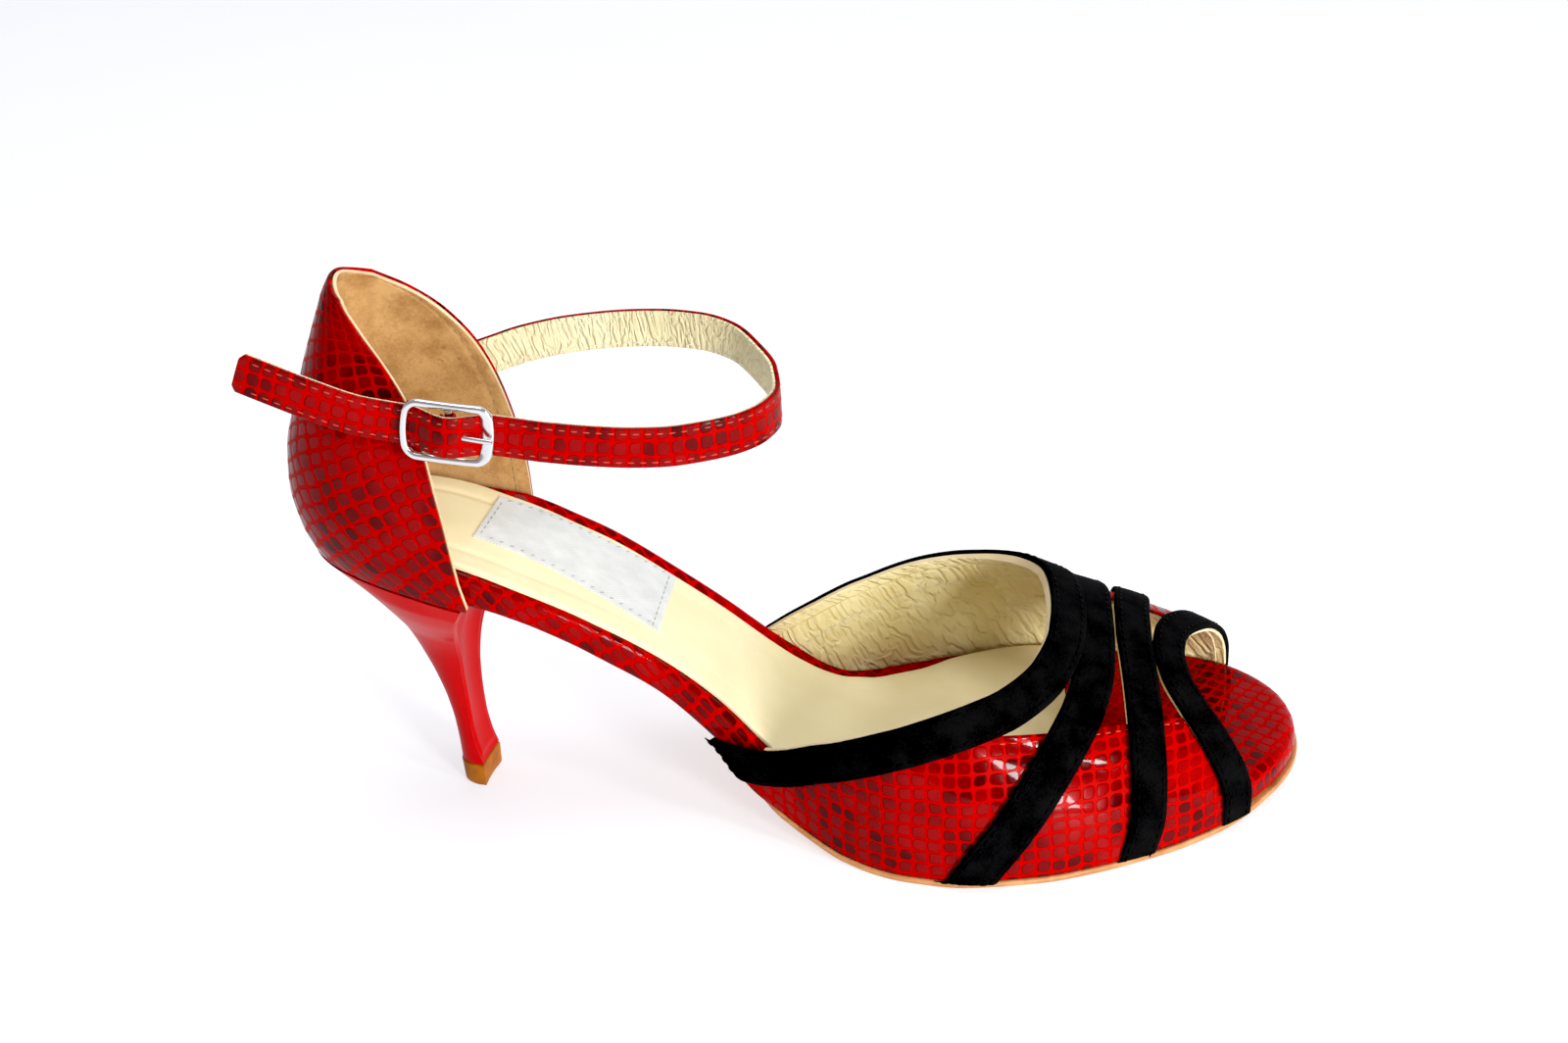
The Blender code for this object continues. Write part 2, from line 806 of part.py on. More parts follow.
def heel_ring(level, height):
    """One section of the heel: round the back from corner to corner, then the hollow breast."""
    _, back, front, half, hollow = level
    ring = []
    for share in spread(HEEL_COLUMNS, -1.0, 1.0):
        back_x, front_x = back * SHOE_LENGTH, front * SHOE_LENGTH
        x, y = seat_curve(share, back_x, front_x, (front_x - back_x) * HEEL_ROUNDING, half * BALL_WIDTH)
        ring.append(seat_to_shoe(x, y))
    return close_ring(ring, hollow, height)


def close_ring(ring, hollow, height):
    inner, outer = ring[-1], ring[0]
    forward = Vector((outer.y - inner.y, inner.x - outer.x)).normalized()
    for share in spread(7)[1:-1]:
        dip = hollow * BREAST_HOLLOW * math.sin(math.pi * share)
        ring.append(inner.lerp(outer, share) + forward * dip)
    return [Vector((point.x, point.y, height(point.x))) for point in ring]


def make_heel():
    low = TIP_HEIGHT + FIT_GAP
    rings = []
    for level in HEEL_LEVELS:
        def height(x, share=level[0]):
            return low + (insole_bottom(x) - FIT_GAP - low) * share
        rings.append(heel_ring(level, height))
    front_angle = station_angle(HEEL_FRONT_X)
    seat = [
        offset_edge(-share * front_angle, COUNTER_FIT + COUNTER_WALL)
        for share in spread(HEEL_COLUMNS, -1.0, 1.0)
    ]
    rings.append(close_ring(seat, 1.0, lambda x: insole_bottom(x) - FIT_GAP))
    return ring_mesh("heel", rings)


def make_heel_tip():
    level = HEEL_LEVELS[0]
    ring = heel_ring(level, lambda x: 0.0)
    middle = sum(ring, Vector()) / len(ring)
    rings = []
    for height, lip in ((0.0, 0.0), (TIP_HEIGHT, TIP_LIP)):
        grown = []
        for point in ring:
            outward = (point - middle).normalized()
            grown.append(point + outward * lip + Vector((0, 0, height)))
        rings.append(grown)
    return ring_mesh("heel_tip", rings)


class Ribbon:
    """The ankle strap's path, with its direction, outward side and width direction."""

    def __init__(self):
        top = HEEL_HEIGHT + COUNTER_HEIGHT
        points = [Vector((x * SHOE_LENGTH, y * BALL_WIDTH, z * top)) for x, y, z in STRAP_PATH]
        reach = [0.0]
        for a, b in zip(points, points[1:]):
            reach.append(reach[-1] + (b - a).length)
        self.length = reach[-1]
        self.curves = [Curve(reach, [point[axis] for point in points]) for axis in range(3)]
        nearest = min(
            (abs(self.curves[0](place) - BUCKLE_SHARE_X * SHOE_LENGTH), place)
            for place in spread(600, self.length / 2, self.length)
        )
        self.buckle_place = nearest[1]

    def point(self, place):
        return Vector([curve(place) for curve in self.curves])

    def frame(self, place):
        step = 0.001
        along = (self.point(min(place + step, self.length)) - self.point(max(place - step, 0)))
        along.normalize()
        outward = Vector((0, 0, 1)).cross(along).normalized()
        width = outward.cross(along).normalized()
        return self.point(place), along, outward, width

    def wave(self, place):
        """Outward shift that weaves the strap under the end bars and over the middle bar."""
        return weave(place - self.buckle_place)


def weave(distance):
    half = BUCKLE_LENGTH / 2 - BUCKLE_WIRE / 2
    over = FRAME_RISE - BAR_DROP + TAB_RADIUS + FIT_GAP + STRAP_THICKNESS / 2
    beneath = FRAME_RISE - BUCKLE_WIRE / 2 - FIT_GAP - STRAP_THICKNESS / 2
    places = (-2.1 * half, -half, 0.0, half, 2.1 * half)
    return Curve(places, (0.0, beneath, over, beneath, 0.0))(distance)


def make_strap_mesh(ribbon):
    half_length = BUCKLE_LENGTH
    coarse = spread(STRAP_RINGS, 0.0, ribbon.buckle_place - half_length)
    fine = spread(31, ribbon.buckle_place - half_length, ribbon.buckle_place + half_length)
    tail = spread(7, ribbon.buckle_place + half_length, ribbon.length)
    rings = []
    for place in coarse + fine[1:] + tail[1:]:
        point, _, outward, width = ribbon.frame(place)
        middle = point + outward * ribbon.wave(place)
        taper = min(1.0, 0.45 + (ribbon.length - place) / (STRAP_WIDTH * 0.5))
        rise = width * (STRAP_WIDTH / 2 * taper)
        side = outward * (STRAP_THICKNESS / 2)
        upper, lower = middle + rise, middle - rise
        if place == 0.0:
            upper, lower = counter_edge(1, upper.z), counter_edge(1, lower.z)
        rings.append([upper + side, upper - side, lower - side, lower + side])
    return ring_mesh("ankle_strap", rings)


def buckle_point(ribbon, along_by, width_by, outward_by):
    """From the buckle's own axes to the shoe's, with the frame's plane at zero."""
    point, along, outward, width = ribbon.frame(ribbon.buckle_place)
    return point + along * along_by + width * width_by + outward * (outward_by + FRAME_RISE)


def curve_mesh(name, points, radius, cyclic=False):
    data = bpy.data.curves.new(name, "CURVE")
    data.dimensions = "3D"
    spline = data.splines.new("POLY")
    spline.points.add(len(points) - 1)
    for target, point in zip(spline.points, points):
        target.co = (*point, 1.0)
    spline.use_cyclic_u = cyclic
    data.bevel_depth = radius
    data.bevel_resolution = 2
    data.use_fill_caps = not cyclic
    temporary = bpy.data.objects.new(name, data)
    bpy.context.scene.collection.objects.link(temporary)
    evaluated = temporary.evaluated_get(bpy.context.evaluated_depsgraph_get())
    mesh = bpy.data.meshes.new_from_object(evaluated)
    bpy.data.objects.remove(temporary)
    bm = bmesh.new()
    bm.from_mesh(mesh)
    bpy.data.meshes.remove(mesh)
    return finish_mesh(name, bm)


def rounded_rectangle(half_length, half_height, radius, steps):
    points = []
    for quarter in range(4):
        sx = 1 if quarter in (0, 3) else -1
        sy = 1 if quarter < 2 else -1
        centre = Vector(((half_length - radius) * sx, (half_height - radius) * sy))
        for share in spread(steps):
            turn = (quarter + share) * math.pi / 2
            points.append(centre + Vector((math.cos(turn), math.sin(turn))) * radius)
    return points


def make_buckle_frame(ribbon, material, collection, cutters):
    half_length = (BUCKLE_LENGTH - BUCKLE_WIRE) / 2
    half_height = (BUCKLE_HEIGHT - BUCKLE_WIRE) / 2
    path = [
        buckle_point(ribbon, p.x, p.y, 0.0)
        for p in rounded_rectangle(half_length, half_height, BUCKLE_CORNER, 5)
    ]
    frame = add_object(
        "buckle_frame", curve_mesh("buckle_frame", path, BUCKLE_WIRE / 2, True), material, collection
    )
    ends = [buckle_point(ribbon, 0.0, sign * half_height, -BAR_DROP) for sign in (-1, 1)]
    bar = add_cutter("buckle_bar", curve_mesh("buckle_bar", ends, BAR_WIRE / 2), cutters)
    boolean(frame, bar, "UNION")
    return frame


def make_prong_mesh(ribbon):
    radius = BAR_WIRE / 2 + BAR_CLEARANCE + PRONG_WIRE / 2
    points = []
    for share in spread(11):
        turn = math.radians(270 * share - 180)
        points.append(buckle_point(
            ribbon, radius * math.cos(turn), 0.0, -BAR_DROP + radius * math.sin(turn)
        ))
    rest = BUCKLE_WIRE / 2 + FIT_GAP + PRONG_WIRE / 2
    end = -(BUCKLE_LENGTH / 2 - 0.1 * BUCKLE_WIRE)
    points.append(buckle_point(ribbon, 0.55 * end, 0.0, 0.75 * rest))
    points.append(buckle_point(ribbon, end, 0.0, rest))
    return curve_mesh("buckle_prong", points, PRONG_WIRE / 2)


def make_tab(ribbon, material, collection, cutters):
    """Short tab from the counter's outer front edge, folded round the buckle's middle bar."""
    bar = buckle_point(ribbon, 0.0, 0.0, -BAR_DROP)
    _, along, outward, width = ribbon.frame(ribbon.buckle_place)
    radius = TAB_RADIUS - TAB_THICKNESS / 2
    half = TAB_WIDTH / 2
    fold = []
    for share in spread(13):
        turn = math.radians(-90 - 260 * share)
        fold.append(bar + along * (radius * math.cos(turn)) + outward * (radius * math.sin(turn)))
    starts = [counter_edge(-1, bar.z + sign * half) for sign in (1, -1)]
    edges = []
    for share in spread(5)[:-1]:
        edges.append([
            start.lerp(fold[0] + width * (sign * half), share) for start, sign in zip(starts, (1, -1))
        ])
    edges += [[point + width * half, point - width * half] for point in fold]
    middles = [(upper + lower) / 2 for upper, lower in edges]
    rings = []
    for i, (upper, lower) in enumerate(edges):
        behind, ahead = middles[max(i - 1, 0)], middles[min(i + 1, len(middles) - 1)]
        side = (ahead - behind).normalized().cross(width).normalized() * (TAB_THICKNESS / 2)
        rings.append([upper + side, upper - side, lower - side, lower + side])
    tab = add_object("buckle_tab", ring_mesh("buckle_tab", rings), material, collection)
    slot_half = PRONG_WIRE / 2 + FIT_GAP
    slot_ends = [bar - along * (2 * TAB_RADIUS), bar + along * (1.4 * TAB_RADIUS)]
    mesh = box_mesh("tab_slot", slot_ends, outward, 2 * TAB_RADIUS, width, slot_half)
    boolean(tab, add_cutter("tab_slot", mesh, cutters), "DIFFERENCE")
    return tab


def box_mesh(name, ends, side, side_half, rise, rise_half):
    rings = []
    for end in ends:
        rings.append([
            end + side * side_half + rise * rise_half,
            end - side * side_half + rise * rise_half,
            end - side * side_half - rise * rise_half,
            end + side * side_half - rise * rise_half,
        ])
    return ring_mesh(name, rings)


def cut_strap_slot(ribbon, strap, cutters):
    ends = [buckle_point(ribbon, place, 0.0, 0.0) for place in (-SLOT_REACH, SLOT_START)]
    _, _, outward, width = ribbon.frame(ribbon.buckle_place)
    half = PRONG_WIRE / 2 + FIT_GAP
    mesh = box_mesh("strap_slot", ends, outward, SLOT_DEPTH, width, half)
    boolean(strap, add_cutter("strap_slot", mesh, cutters), "DIFFERENCE")


def make_bands(materials, collection, cutters):
    """Vamp with its windows, and the four bands laid over it."""
    tables = {
        "collar_band": (COLLAR, COLLAR_WIDTH, 44),
        "band_two": (BAND_TWO, BAND_WIDTH, 28),
        "band_three": (BAND_THREE, BAND_WIDTH * 0.9, 26),
        "band_four": (BAND_FOUR, BAND_WIDTH * 0.8, 26),
    }
    rows = {
        name: band_rows(table, width / 2, count, 4) for name, (table, width, count) in tables.items()
    }
    mesh = grid_mesh("vamp", vamp_rows(rows, 0.0, 0.0))
    vamp = add_object("vamp", mesh, materials["red"], collection)
    solidify(vamp, VAMP_WALL)
    windows = {
        "window_rear": panel_rows(rows["collar_band"], rows["band_two"], 50.0),
        "window_middle": panel_rows(rows["band_two"], rows["band_three"], INNER_PANEL_TOP),
        "window_low": panel_rows(rows["band_three"], rows["band_four"], 60.0),
        "window_high": window_rows(rows["band_three"], rows["band_four"], 84.0, INNER_PANEL_TOP),
    }
    for name, places in windows.items():
        above, below = lift_rows(places, WINDOW_REACH), lift_rows(places, -VAMP_WALL - WINDOW_REACH)
        mesh = slab_mesh(name, above, below)
        boolean(vamp, add_cutter(name, mesh, cutters), "DIFFERENCE")
    boolean(vamp, add_cutter("insole_room", make_insole_room(), cutters), "DIFFERENCE")
    sheets = [vamp_rows(rows, FIT_GAP, offset) for offset in (BAND_MIN_GAP, -VAMP_WALL / 2)]
    vamp_room = add_cutter("vamp_room", slab_mesh("vamp_room", *sheets), cutters)
    low = BAND_LIFT
    high = BAND_LIFT + BAND_THICKNESS
    behind = None
    for name, (table, width, count) in tables.items():
        mesh = slab_mesh(name, lift_rows(rows[name], high), lift_rows(rows[name], low))
        band = add_object(name, mesh, materials["suede"], collection)
        boolean(band, vamp_room, "DIFFERENCE")
        if behind:
            table, width, count = tables[behind]
            wide = band_rows(table, width / 2 + FIT_GAP, count, 4)
            room = slab_mesh(behind + "_room", lift_rows(wide, high + 0.001), lift_rows(wide, low - 0.001))
            boolean(band, add_cutter(behind + "_room", room, cutters), "DIFFERENCE")
        behind = name


def move_to_origin(collection):
    """Put the origin under the middle of the whole shoe's box."""
    depsgraph = bpy.context.evaluated_depsgraph_get()
    corners = []
    for part in collection.objects:
        evaluated = part.evaluated_get(depsgraph)
        mesh = evaluated.to_mesh()
        corners.extend(vertex.co.copy() for vertex in mesh.vertices)
        evaluated.to_mesh_clear()
    low = Vector([min(corner[axis] for corner in corners) for axis in range(3)])
    high = Vector([max(corner[axis] for corner in corners) for axis in range(3)])
    return Vector((-(low.x + high.x) / 2, -(low.y + high.y) / 2, -low.z))


def main():
    for old in list(bpy.data.objects):
        bpy.data.objects.remove(old, do_unlink=True)
    collection = bpy.data.collections.new("dance_shoe")
    cutters = bpy.data.collections.new("cutters")
    bpy.context.scene.collection.children.link(collection)
    bpy.context.scene.collection.children.link(cutters)
    materials = {
        "red": make_material("red_embossed_leather", (0.55, 0.02, 0.02), 0.2),
        "suede": make_material("black_suede", (0.01, 0.01, 0.01), 0.95),
        "cream": make_material("cream_leather", (0.86, 0.79, 0.55), 0.5),
        "tan": make_material("tan_sole_leather", (0.6, 0.33, 0.14), 0.6),
        "lacquer": make_material("red_lacquer", (0.6, 0.01, 0.01), 0.1),
        "tip": make_material("heel_tip_rubber", (0.45, 0.2, 0.03), 0.5),
        "nickel": make_material("polished_nickel", (0.75, 0.74, 0.72), 0.15, 1.0),
    }
    add_object("outsole", make_outsole(), materials["tan"], collection)
    add_object("wrapped_insole", make_wrapped_insole(), materials["red"], collection)
    add_object("insole_sock", make_sock(), materials["cream"], collection)
    add_object("heel", make_heel(), materials["lacquer"], collection)
    add_object("heel_tip", make_heel_tip(), materials["tip"], collection)
    counter = add_object("counter", make_counter_mesh(), materials["red"], collection)
    solidify(counter, COUNTER_WALL)
    make_bands(materials, collection, cutters)
    ribbon = Ribbon()
    strap = add_object("ankle_strap", make_strap_mesh(ribbon), materials["red"], collection)
    cut_strap_slot(ribbon, strap, cutters)
    make_buckle_frame(ribbon, materials["nickel"], collection, cutters)
    make_tab(ribbon, materials["red"], collection, cutters)
    add_object("buckle_prong", make_prong_mesh(ribbon), materials["nickel"], collection)
    move = move_to_origin(collection)
    for part in list(collection.objects) + list(cutters.objects):
        part.location = move


main()
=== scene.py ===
import math
import bpy
import bmesh
import numpy as np
from mathutils import Matrix, Vector


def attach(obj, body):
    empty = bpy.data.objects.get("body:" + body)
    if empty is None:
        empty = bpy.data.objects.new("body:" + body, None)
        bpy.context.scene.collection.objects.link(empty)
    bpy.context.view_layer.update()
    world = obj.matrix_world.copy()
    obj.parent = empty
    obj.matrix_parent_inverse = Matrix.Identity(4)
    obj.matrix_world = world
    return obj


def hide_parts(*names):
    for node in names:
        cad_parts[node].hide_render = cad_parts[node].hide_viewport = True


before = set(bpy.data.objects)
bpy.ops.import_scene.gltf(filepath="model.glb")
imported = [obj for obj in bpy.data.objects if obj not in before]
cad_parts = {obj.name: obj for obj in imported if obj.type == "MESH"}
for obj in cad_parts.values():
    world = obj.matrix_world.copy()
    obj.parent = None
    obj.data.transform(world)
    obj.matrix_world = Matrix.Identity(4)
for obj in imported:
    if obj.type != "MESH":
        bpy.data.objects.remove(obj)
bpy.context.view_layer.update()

mm = 0.001

# the last and the sole, in a frame whose x starts at the back of the heel; lengths in metres
last = {
    "length": 0.218, "ball": 0.0792, "heel": 0.0636, "instep": 0.084,
    "turn": math.radians(9.26), "turnStart": 0.044, "turnEnd": 0.070, "axisX": 0.015,
    "gap": 0.0003, "vampWall": 0.0016, "solePly": 0.0024, "sockPly": 0.0012, "fullness": 0.9,
}
origin = Vector((-0.1088309, 0.0032467, 0.0))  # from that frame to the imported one

sole = {
    "rear": 0.0485, "margin": 0.0007, "waistInset": 0.0045, "forepart": 0.0022,
    "waistShare": 0.6, "welt": (0.088, 0.106), "toeWelt": (0.196, 0.210), "edge": 0.0004,
    "step": 0.0014, "stepInset": 0.0023,  # the upper laps over the sole's edge down to this height
}
insole = {
    "edgeRound": 0.0015, "toeRound": 0.0034, "toeStart": 0.196, "sockEnd": 0.168,
    "rimRise": 0.0022, "rimWidth": 0.0032, "rimOut": 0.0006, "rimFade": 0.003,
    "rimFrom": (0.030, 0.046), "rimTo": (0.104, 0.120), "lap": (0.180, 0.192), "lapDrop": 0.0011,
}
sock = {
    "channel": 0.0062, "channelDepth": 0.00035, "channelWidth": 0.0011, "edge": 0.0007,
    "outer": (
        (0.020, 1.6), (0.056, 1.5), (0.066, 1.6), (0.076, 1.9), (0.087, 2.5), (0.095, 2.3), (0.105, 1.6),
        (0.218, 1.6),
    ),
    "inner": (
        (0.020, 2.2), (0.040, 2.8), (0.060, 3.4), (0.100, 3.4), (0.108, 3.7), (0.116, 5.0), (0.123, 6.4),
        (0.132, 6.2), (0.141, 3.9), (0.151, 2.3), (0.164, 1.6), (0.218, 1.6),
    ),  # how far the sock's edge lies in from the insole's, in millimetres
}
label = {
    "corners": ((42.1, 10.1), (79.3, 13.7), (78.5, -11.6), (40.6, -10.2)),
    "ply": 0.0003, "lift": 0.0001, "border": 0.0012,
}
bands = {
    "collar": {"node": "collar_band", "width": 0.0085, "lift": 0.0007, "rings": 260},
    "second": {"node": "band_two", "width": 0.0092, "lift": 0.0, "rings": 150},
    "third": {"node": "band_three", "width": 0.0083, "lift": 0.0, "rings": 150},
    "fourth": {"node": "band_four", "width": 0.0074, "lift": 0.0, "rings": 170},
}
suedePly = {
    "from": 0.00018, "to": 0.00145, "round": 0.00055, "crown": 0.00016, "stitchInset": 0.0013,
    "skive": 0.012, "skived": 0.3,  # thinned to this share, over this length, where an end tucks in
}
panel = {"innerTop": 102.0, "skin": 0.0007, "wall": 0.00145, "leastWall": 0.00105, "edgeAt": 0.35}
stitch = {
    "pitch": 0.0024, "band": (0.0016, 0.00042, 0.00022), "label": (0.0016, 0.00026, 0.00016),
    "panel": (0.0014, 0.0003, 0.00014), "counter": (0.0015, 0.00028, 0.00014), "strap": (0.0015, 0.00032, 0.0002),
}  # each seam's stitch: length, width and height
counter = {"height": 0.059, "wall": 0.002, "fit": 0.0004, "front": 0.0446, "skin": 0.0009, "peak": 0.045}
heel = {"tip": 0.0056, "hollow": 0.0022, "round": 0.85, "front": 0.0434, "breast": 0.00045, "rings": 90}
strap = {
    "tuck": 0.0035, "width": 0.0085, "outer": 0.0009, "lining": 0.0007, "buckleX": 0.2018, "round": 0.00035,
    "taper": 0.72, "puff": 0.00012, "stitchInset": 0.0012, "tileShift": 0.0048,
}
buckle = {
    "length": 0.0188, "height": 0.0130, "wire": 0.0015, "bar": 0.0014, "prong": 0.0011,
    "drop": 0.0008, "clear": 0.0002, "rise": 0.001, "corner": 0.0022, "tab": 0.0007, "tabWidth": 0.0075,
    "broad": 0.0011, "bulge": 0.0008, "bow": 0.0004, "hump": 0.00065,
}
tile = {"pitch": (0.0032, 0.0029), "soleTurn": 38.0, "counterTurn": 35.0, "counterScale": 0.83}

plan = (
    (0.031, 0.017, 0.000, 0.000), (0.046, 0.010, 0.126, 0.126), (0.073, -0.003, 0.184, 0.184),
    (0.110, -0.019, 0.220, 0.220), (0.151, -0.037, 0.242, 0.242), (0.193, -0.054, 0.253, 0.253),
    (0.239, -0.053, 0.258, 0.260), (0.298, -0.035, 0.250, 0.260), (0.358, -0.021, 0.244, 0.250),
    (0.413, -0.020, 0.260, 0.253), (0.459, -0.023, 0.298, 0.263), (0.505, -0.023, 0.364, 0.295),
    (0.550, -0.018, 0.447, 0.354), (0.606, -0.010, 0.523, 0.407), (0.665, 0.000, 0.556, 0.444),
    (0.725, 0.008, 0.545, 0.465), (0.780, 0.015, 0.510, 0.457), (0.835, 0.025, 0.457, 0.427),
    (0.890, 0.033, 0.391, 0.381), (0.936, 0.038, 0.318, 0.321), (0.972, 0.040, 0.220, 0.225),
    (0.993, 0.042, 0.116, 0.119), (1.000, 0.043, 0.000, 0.000),
)
profileTop = (
    (0.000, 1.171), (0.092, 1.110), (0.138, 1.079), (0.174, 1.044), (0.206, 1.002), (0.239, 0.947),
    (0.275, 0.873), (0.321, 0.764), (0.367, 0.645), (0.413, 0.517), (0.459, 0.374), (0.486, 0.291),
    (0.514, 0.220), (0.541, 0.173), (0.573, 0.153), (0.619, 0.148), (0.849, 0.148), (0.917, 0.167),
    (1.000, 0.197),
)
profileBottom = (
    (0.000, 1.016), (0.092, 0.954), (0.138, 0.925), (0.174, 0.899), (0.206, 0.869), (0.239, 0.821),
    (0.275, 0.744), (0.321, 0.627), (0.367, 0.503), (0.413, 0.346), (0.436, 0.258), (0.459, 0.189),
    (0.486, 0.132), (0.514, 0.085), (0.541, 0.057), (0.573, 0.046), (0.849, 0.046), (0.917, 0.066),
    (1.000, 0.104),
)
ridge = (
    (0.380, 0.000, 1.000), (0.490, 0.025, 0.905), (0.569, 0.050, 0.786), (0.647, 0.070, 0.650),
    (0.688, 0.076, 0.577), (0.734, 0.088, 0.504), (0.780, 0.095, 0.446), (0.826, 0.095, 0.403),
    (0.872, 0.095, 0.358), (0.917, 0.088, 0.305), (0.945, 0.082, 0.262), (1.000, 0.063, 0.167),
)
paths = {
    "collar": (
        (0.412, -2.0), (0.440, 1.5), (0.485, 7.2), (0.532, 15.0), (0.579, 22.3), (0.622, 29.1), (0.667, 37.4),
        (0.700, 44.4), (0.738, 57.5), (0.758, 72.0), (0.764, 87.0), (0.760, 102.0), (0.744, 117.0),
        (0.705, 132.0), (0.660, 143.0), (0.620, 150.0), (0.580, 156.0), (0.540, 161.0),
        (0.500, 167.0), (0.455, 175.5), (0.425, 183.0),
    ),
    "second": (
        (0.646, -6.0), (0.668, 1.0), (0.693, 9.2), (0.713, 17.5), (0.733, 27.5), (0.752, 38.0), (0.769, 48.5),
        (0.783, 62.0), (0.790, 80.0), (0.793, 100.0), (0.786, 125.0), (0.768, 155.0), (0.752, 179.0),
        (0.749, 184.0),
    ),
    "third": (
        (0.815, -5.0), (0.820, 1.0), (0.827, 13.0), (0.829, 30.0), (0.829, 55.0), (0.829, 75.0), (0.833, 92.0),
        (0.838, 115.0), (0.838, 145.0), (0.832, 179.0), (0.831, 184.0),
    ),
    "fourth": (
        (0.9185, -5.0), (0.918, 1.0), (0.917, 11.0), (0.912, 22.0), (0.904, 32.0), (0.893, 42.5), (0.878, 54.0),
        (0.866, 65.0), (0.863, 75.0), (0.868, 84.0), (0.881, 93.0), (0.897, 105.0), (0.912, 121.0),
        (0.924, 140.0), (0.930, 160.0), (0.932, 179.0), (0.9322, 184.0),
    ),
}
outerPanelTop = (
    (0.440, 30.0), (0.600, 30.0), (0.685, 36.0), (0.733, 40.2), (0.778, 43.8), (0.849, 48.1), (0.900, 51.0),
)
counterLevels = (
    (0.00, 0.0211, 0.2064, 0.156, 0.274), (0.10, 0.0106, 0.2041, 0.147, 0.292),
    (0.24, 0.0055, 0.2014, 0.138, 0.300), (0.38, 0.0092, 0.1954, 0.133, 0.293),
    (0.53, 0.0211, 0.1867, 0.126, 0.273), (0.66, 0.0344, 0.1743, 0.113, 0.245),
    (0.78, 0.0475, 0.1514, 0.101, 0.214), (0.88, 0.0590, 0.1216, 0.090, 0.179),
    (0.94, 0.0660, 0.1009, 0.078, 0.149), (1.00, 0.0761, 0.0849, 0.064, 0.114),
)
heelLevels = (
    (0.00, 0.1326, 0.1633, 0.063, 0.10), (0.08, 0.1326, 0.1587, 0.061, 0.15),
    (0.19, 0.1312, 0.1555, 0.061, 0.20), (0.30, 0.1266, 0.1550, 0.062, 0.25),
    (0.42, 0.1179, 0.1555, 0.067, 0.35), (0.54, 0.1064, 0.1578, 0.081, 0.50),
    (0.66, 0.0940, 0.1624, 0.116, 0.75), (0.75, 0.0826, 0.1706, 0.167, 1.00),
    (0.84, 0.0688, 0.1807, 0.220, 1.10), (0.92, 0.0486, 0.1908, 0.258, 1.00),
)
strapPath = (
    (0.1975, 0.222, 0.783), (0.2294, 0.240, 0.797), (0.2752, 0.255, 0.809), (0.3211, 0.259, 0.815),
    (0.3670, 0.246, 0.818), (0.4083, 0.208, 0.819), (0.4427, 0.152, 0.812), (0.4679, 0.069, 0.795),
    (0.4853, -0.013, 0.775), (0.4900, -0.095, 0.761), (0.4794, -0.180, 0.756), (0.4495, -0.255, 0.753),
    (0.4083, -0.303, 0.753), (0.3670, -0.333, 0.759), (0.3257, -0.350, 0.769), (0.2844, -0.360, 0.781),
    (0.2431, -0.364, 0.792), (0.2018, -0.363, 0.803), (0.1606, -0.363, 0.816), (0.1147, -0.366, 0.840),
    (0.0826, -0.366, 0.864), (0.0505, -0.364, 0.890), (0.0184, -0.360, 0.916),
)


class Curve:
    def __init__(self, places, values):
        self.places = np.array(places, float)
        self.values = np.array(values, float)
        steps = np.diff(self.places)
        rates = np.diff(self.values) / steps
        inner = np.zeros(len(self.places))
        for i in range(1, len(rates)):
            before, after = rates[i - 1], rates[i]
            if before * after > 0:
                first = 2 * steps[i] + steps[i - 1]
                second = steps[i] + 2 * steps[i - 1]
                inner[i] = (first + second) / (first / before + second / after)
        inner[0], inner[-1] = rates[0], rates[-1]
        self.rates = inner

    def __call__(self, place):
        place = np.clip(np.asarray(place, float), self.places[0], self.places[-1])
        i = np.clip(np.searchsorted(self.places, place) - 1, 0, len(self.places) - 2)
        width = self.places[i + 1] - self.places[i]
        t = (place - self.places[i]) / width
        low, high = self.values[i], self.values[i + 1]
        a, b = self.rates[i] * width, self.rates[i + 1] * width
        ends = low * (2 * t**3 - 3 * t**2 + 1) + a * (t**3 - 2 * t**2 + t)
        return ends + high * (3 * t**2 - 2 * t**3) + b * (t**3 - t**2)


def column(rows, index):
    return Curve([row[0] for row in rows], [row[index] for row in rows])


def soft(x, start, end, low=0.0, high=1.0):
    t = np.clip((np.asarray(x, float) - start) / (end - start), 0, 1)
    return low + (high - low) * t * t * (3 - 2 * t)


def unit(v):
    return v / np.maximum(np.linalg.norm(v, axis=-1, keepdims=True), 1e-12)


def runAlong(points):
    # length along a row of points, from its first one
    return np.concatenate([[0], np.cumsum(np.linalg.norm(np.diff(points, axis=0), axis=1))])


def rowNoise(points, scale, seed=0):
    # smooth repeatable noise from a few sine waves
    rng = np.random.default_rng(seed)
    value = np.zeros(points.shape[:-1])
    for k in range(7):
        direction = rng.normal(size=points.shape[-1])
        direction *= scale * (0.6 + 0.25 * k) / np.linalg.norm(direction)
        value += np.sin(points @ direction + rng.uniform(0, 6.28)) / (1 + 0.4 * k)
    return value / 3


centreShare = column(plan, 1)
outerSquare = Curve([row[0] for row in plan], [row[2] ** 2 for row in plan])
innerSquare = Curve([row[0] for row in plan], [row[3] ** 2 for row in plan])
topShare, bottomShare = column(profileTop, 1), column(profileBottom, 1)
ridgeY, ridgeZ = column(ridge, 1), column(ridge, 2)
panelTop = column(outerPanelTop, 1)
backX = plan[0][0] * last["length"]
treadShare = min(row[1] for row in profileBottom)


def insoleTop(x):
    return topShare(x / last["length"]) * last["heel"] - last["sockPly"] - last["gap"]


def insoleBottom(x):
    return last["solePly"] + last["gap"] + (bottomShare(x / last["length"]) - treadShare) * last["heel"]


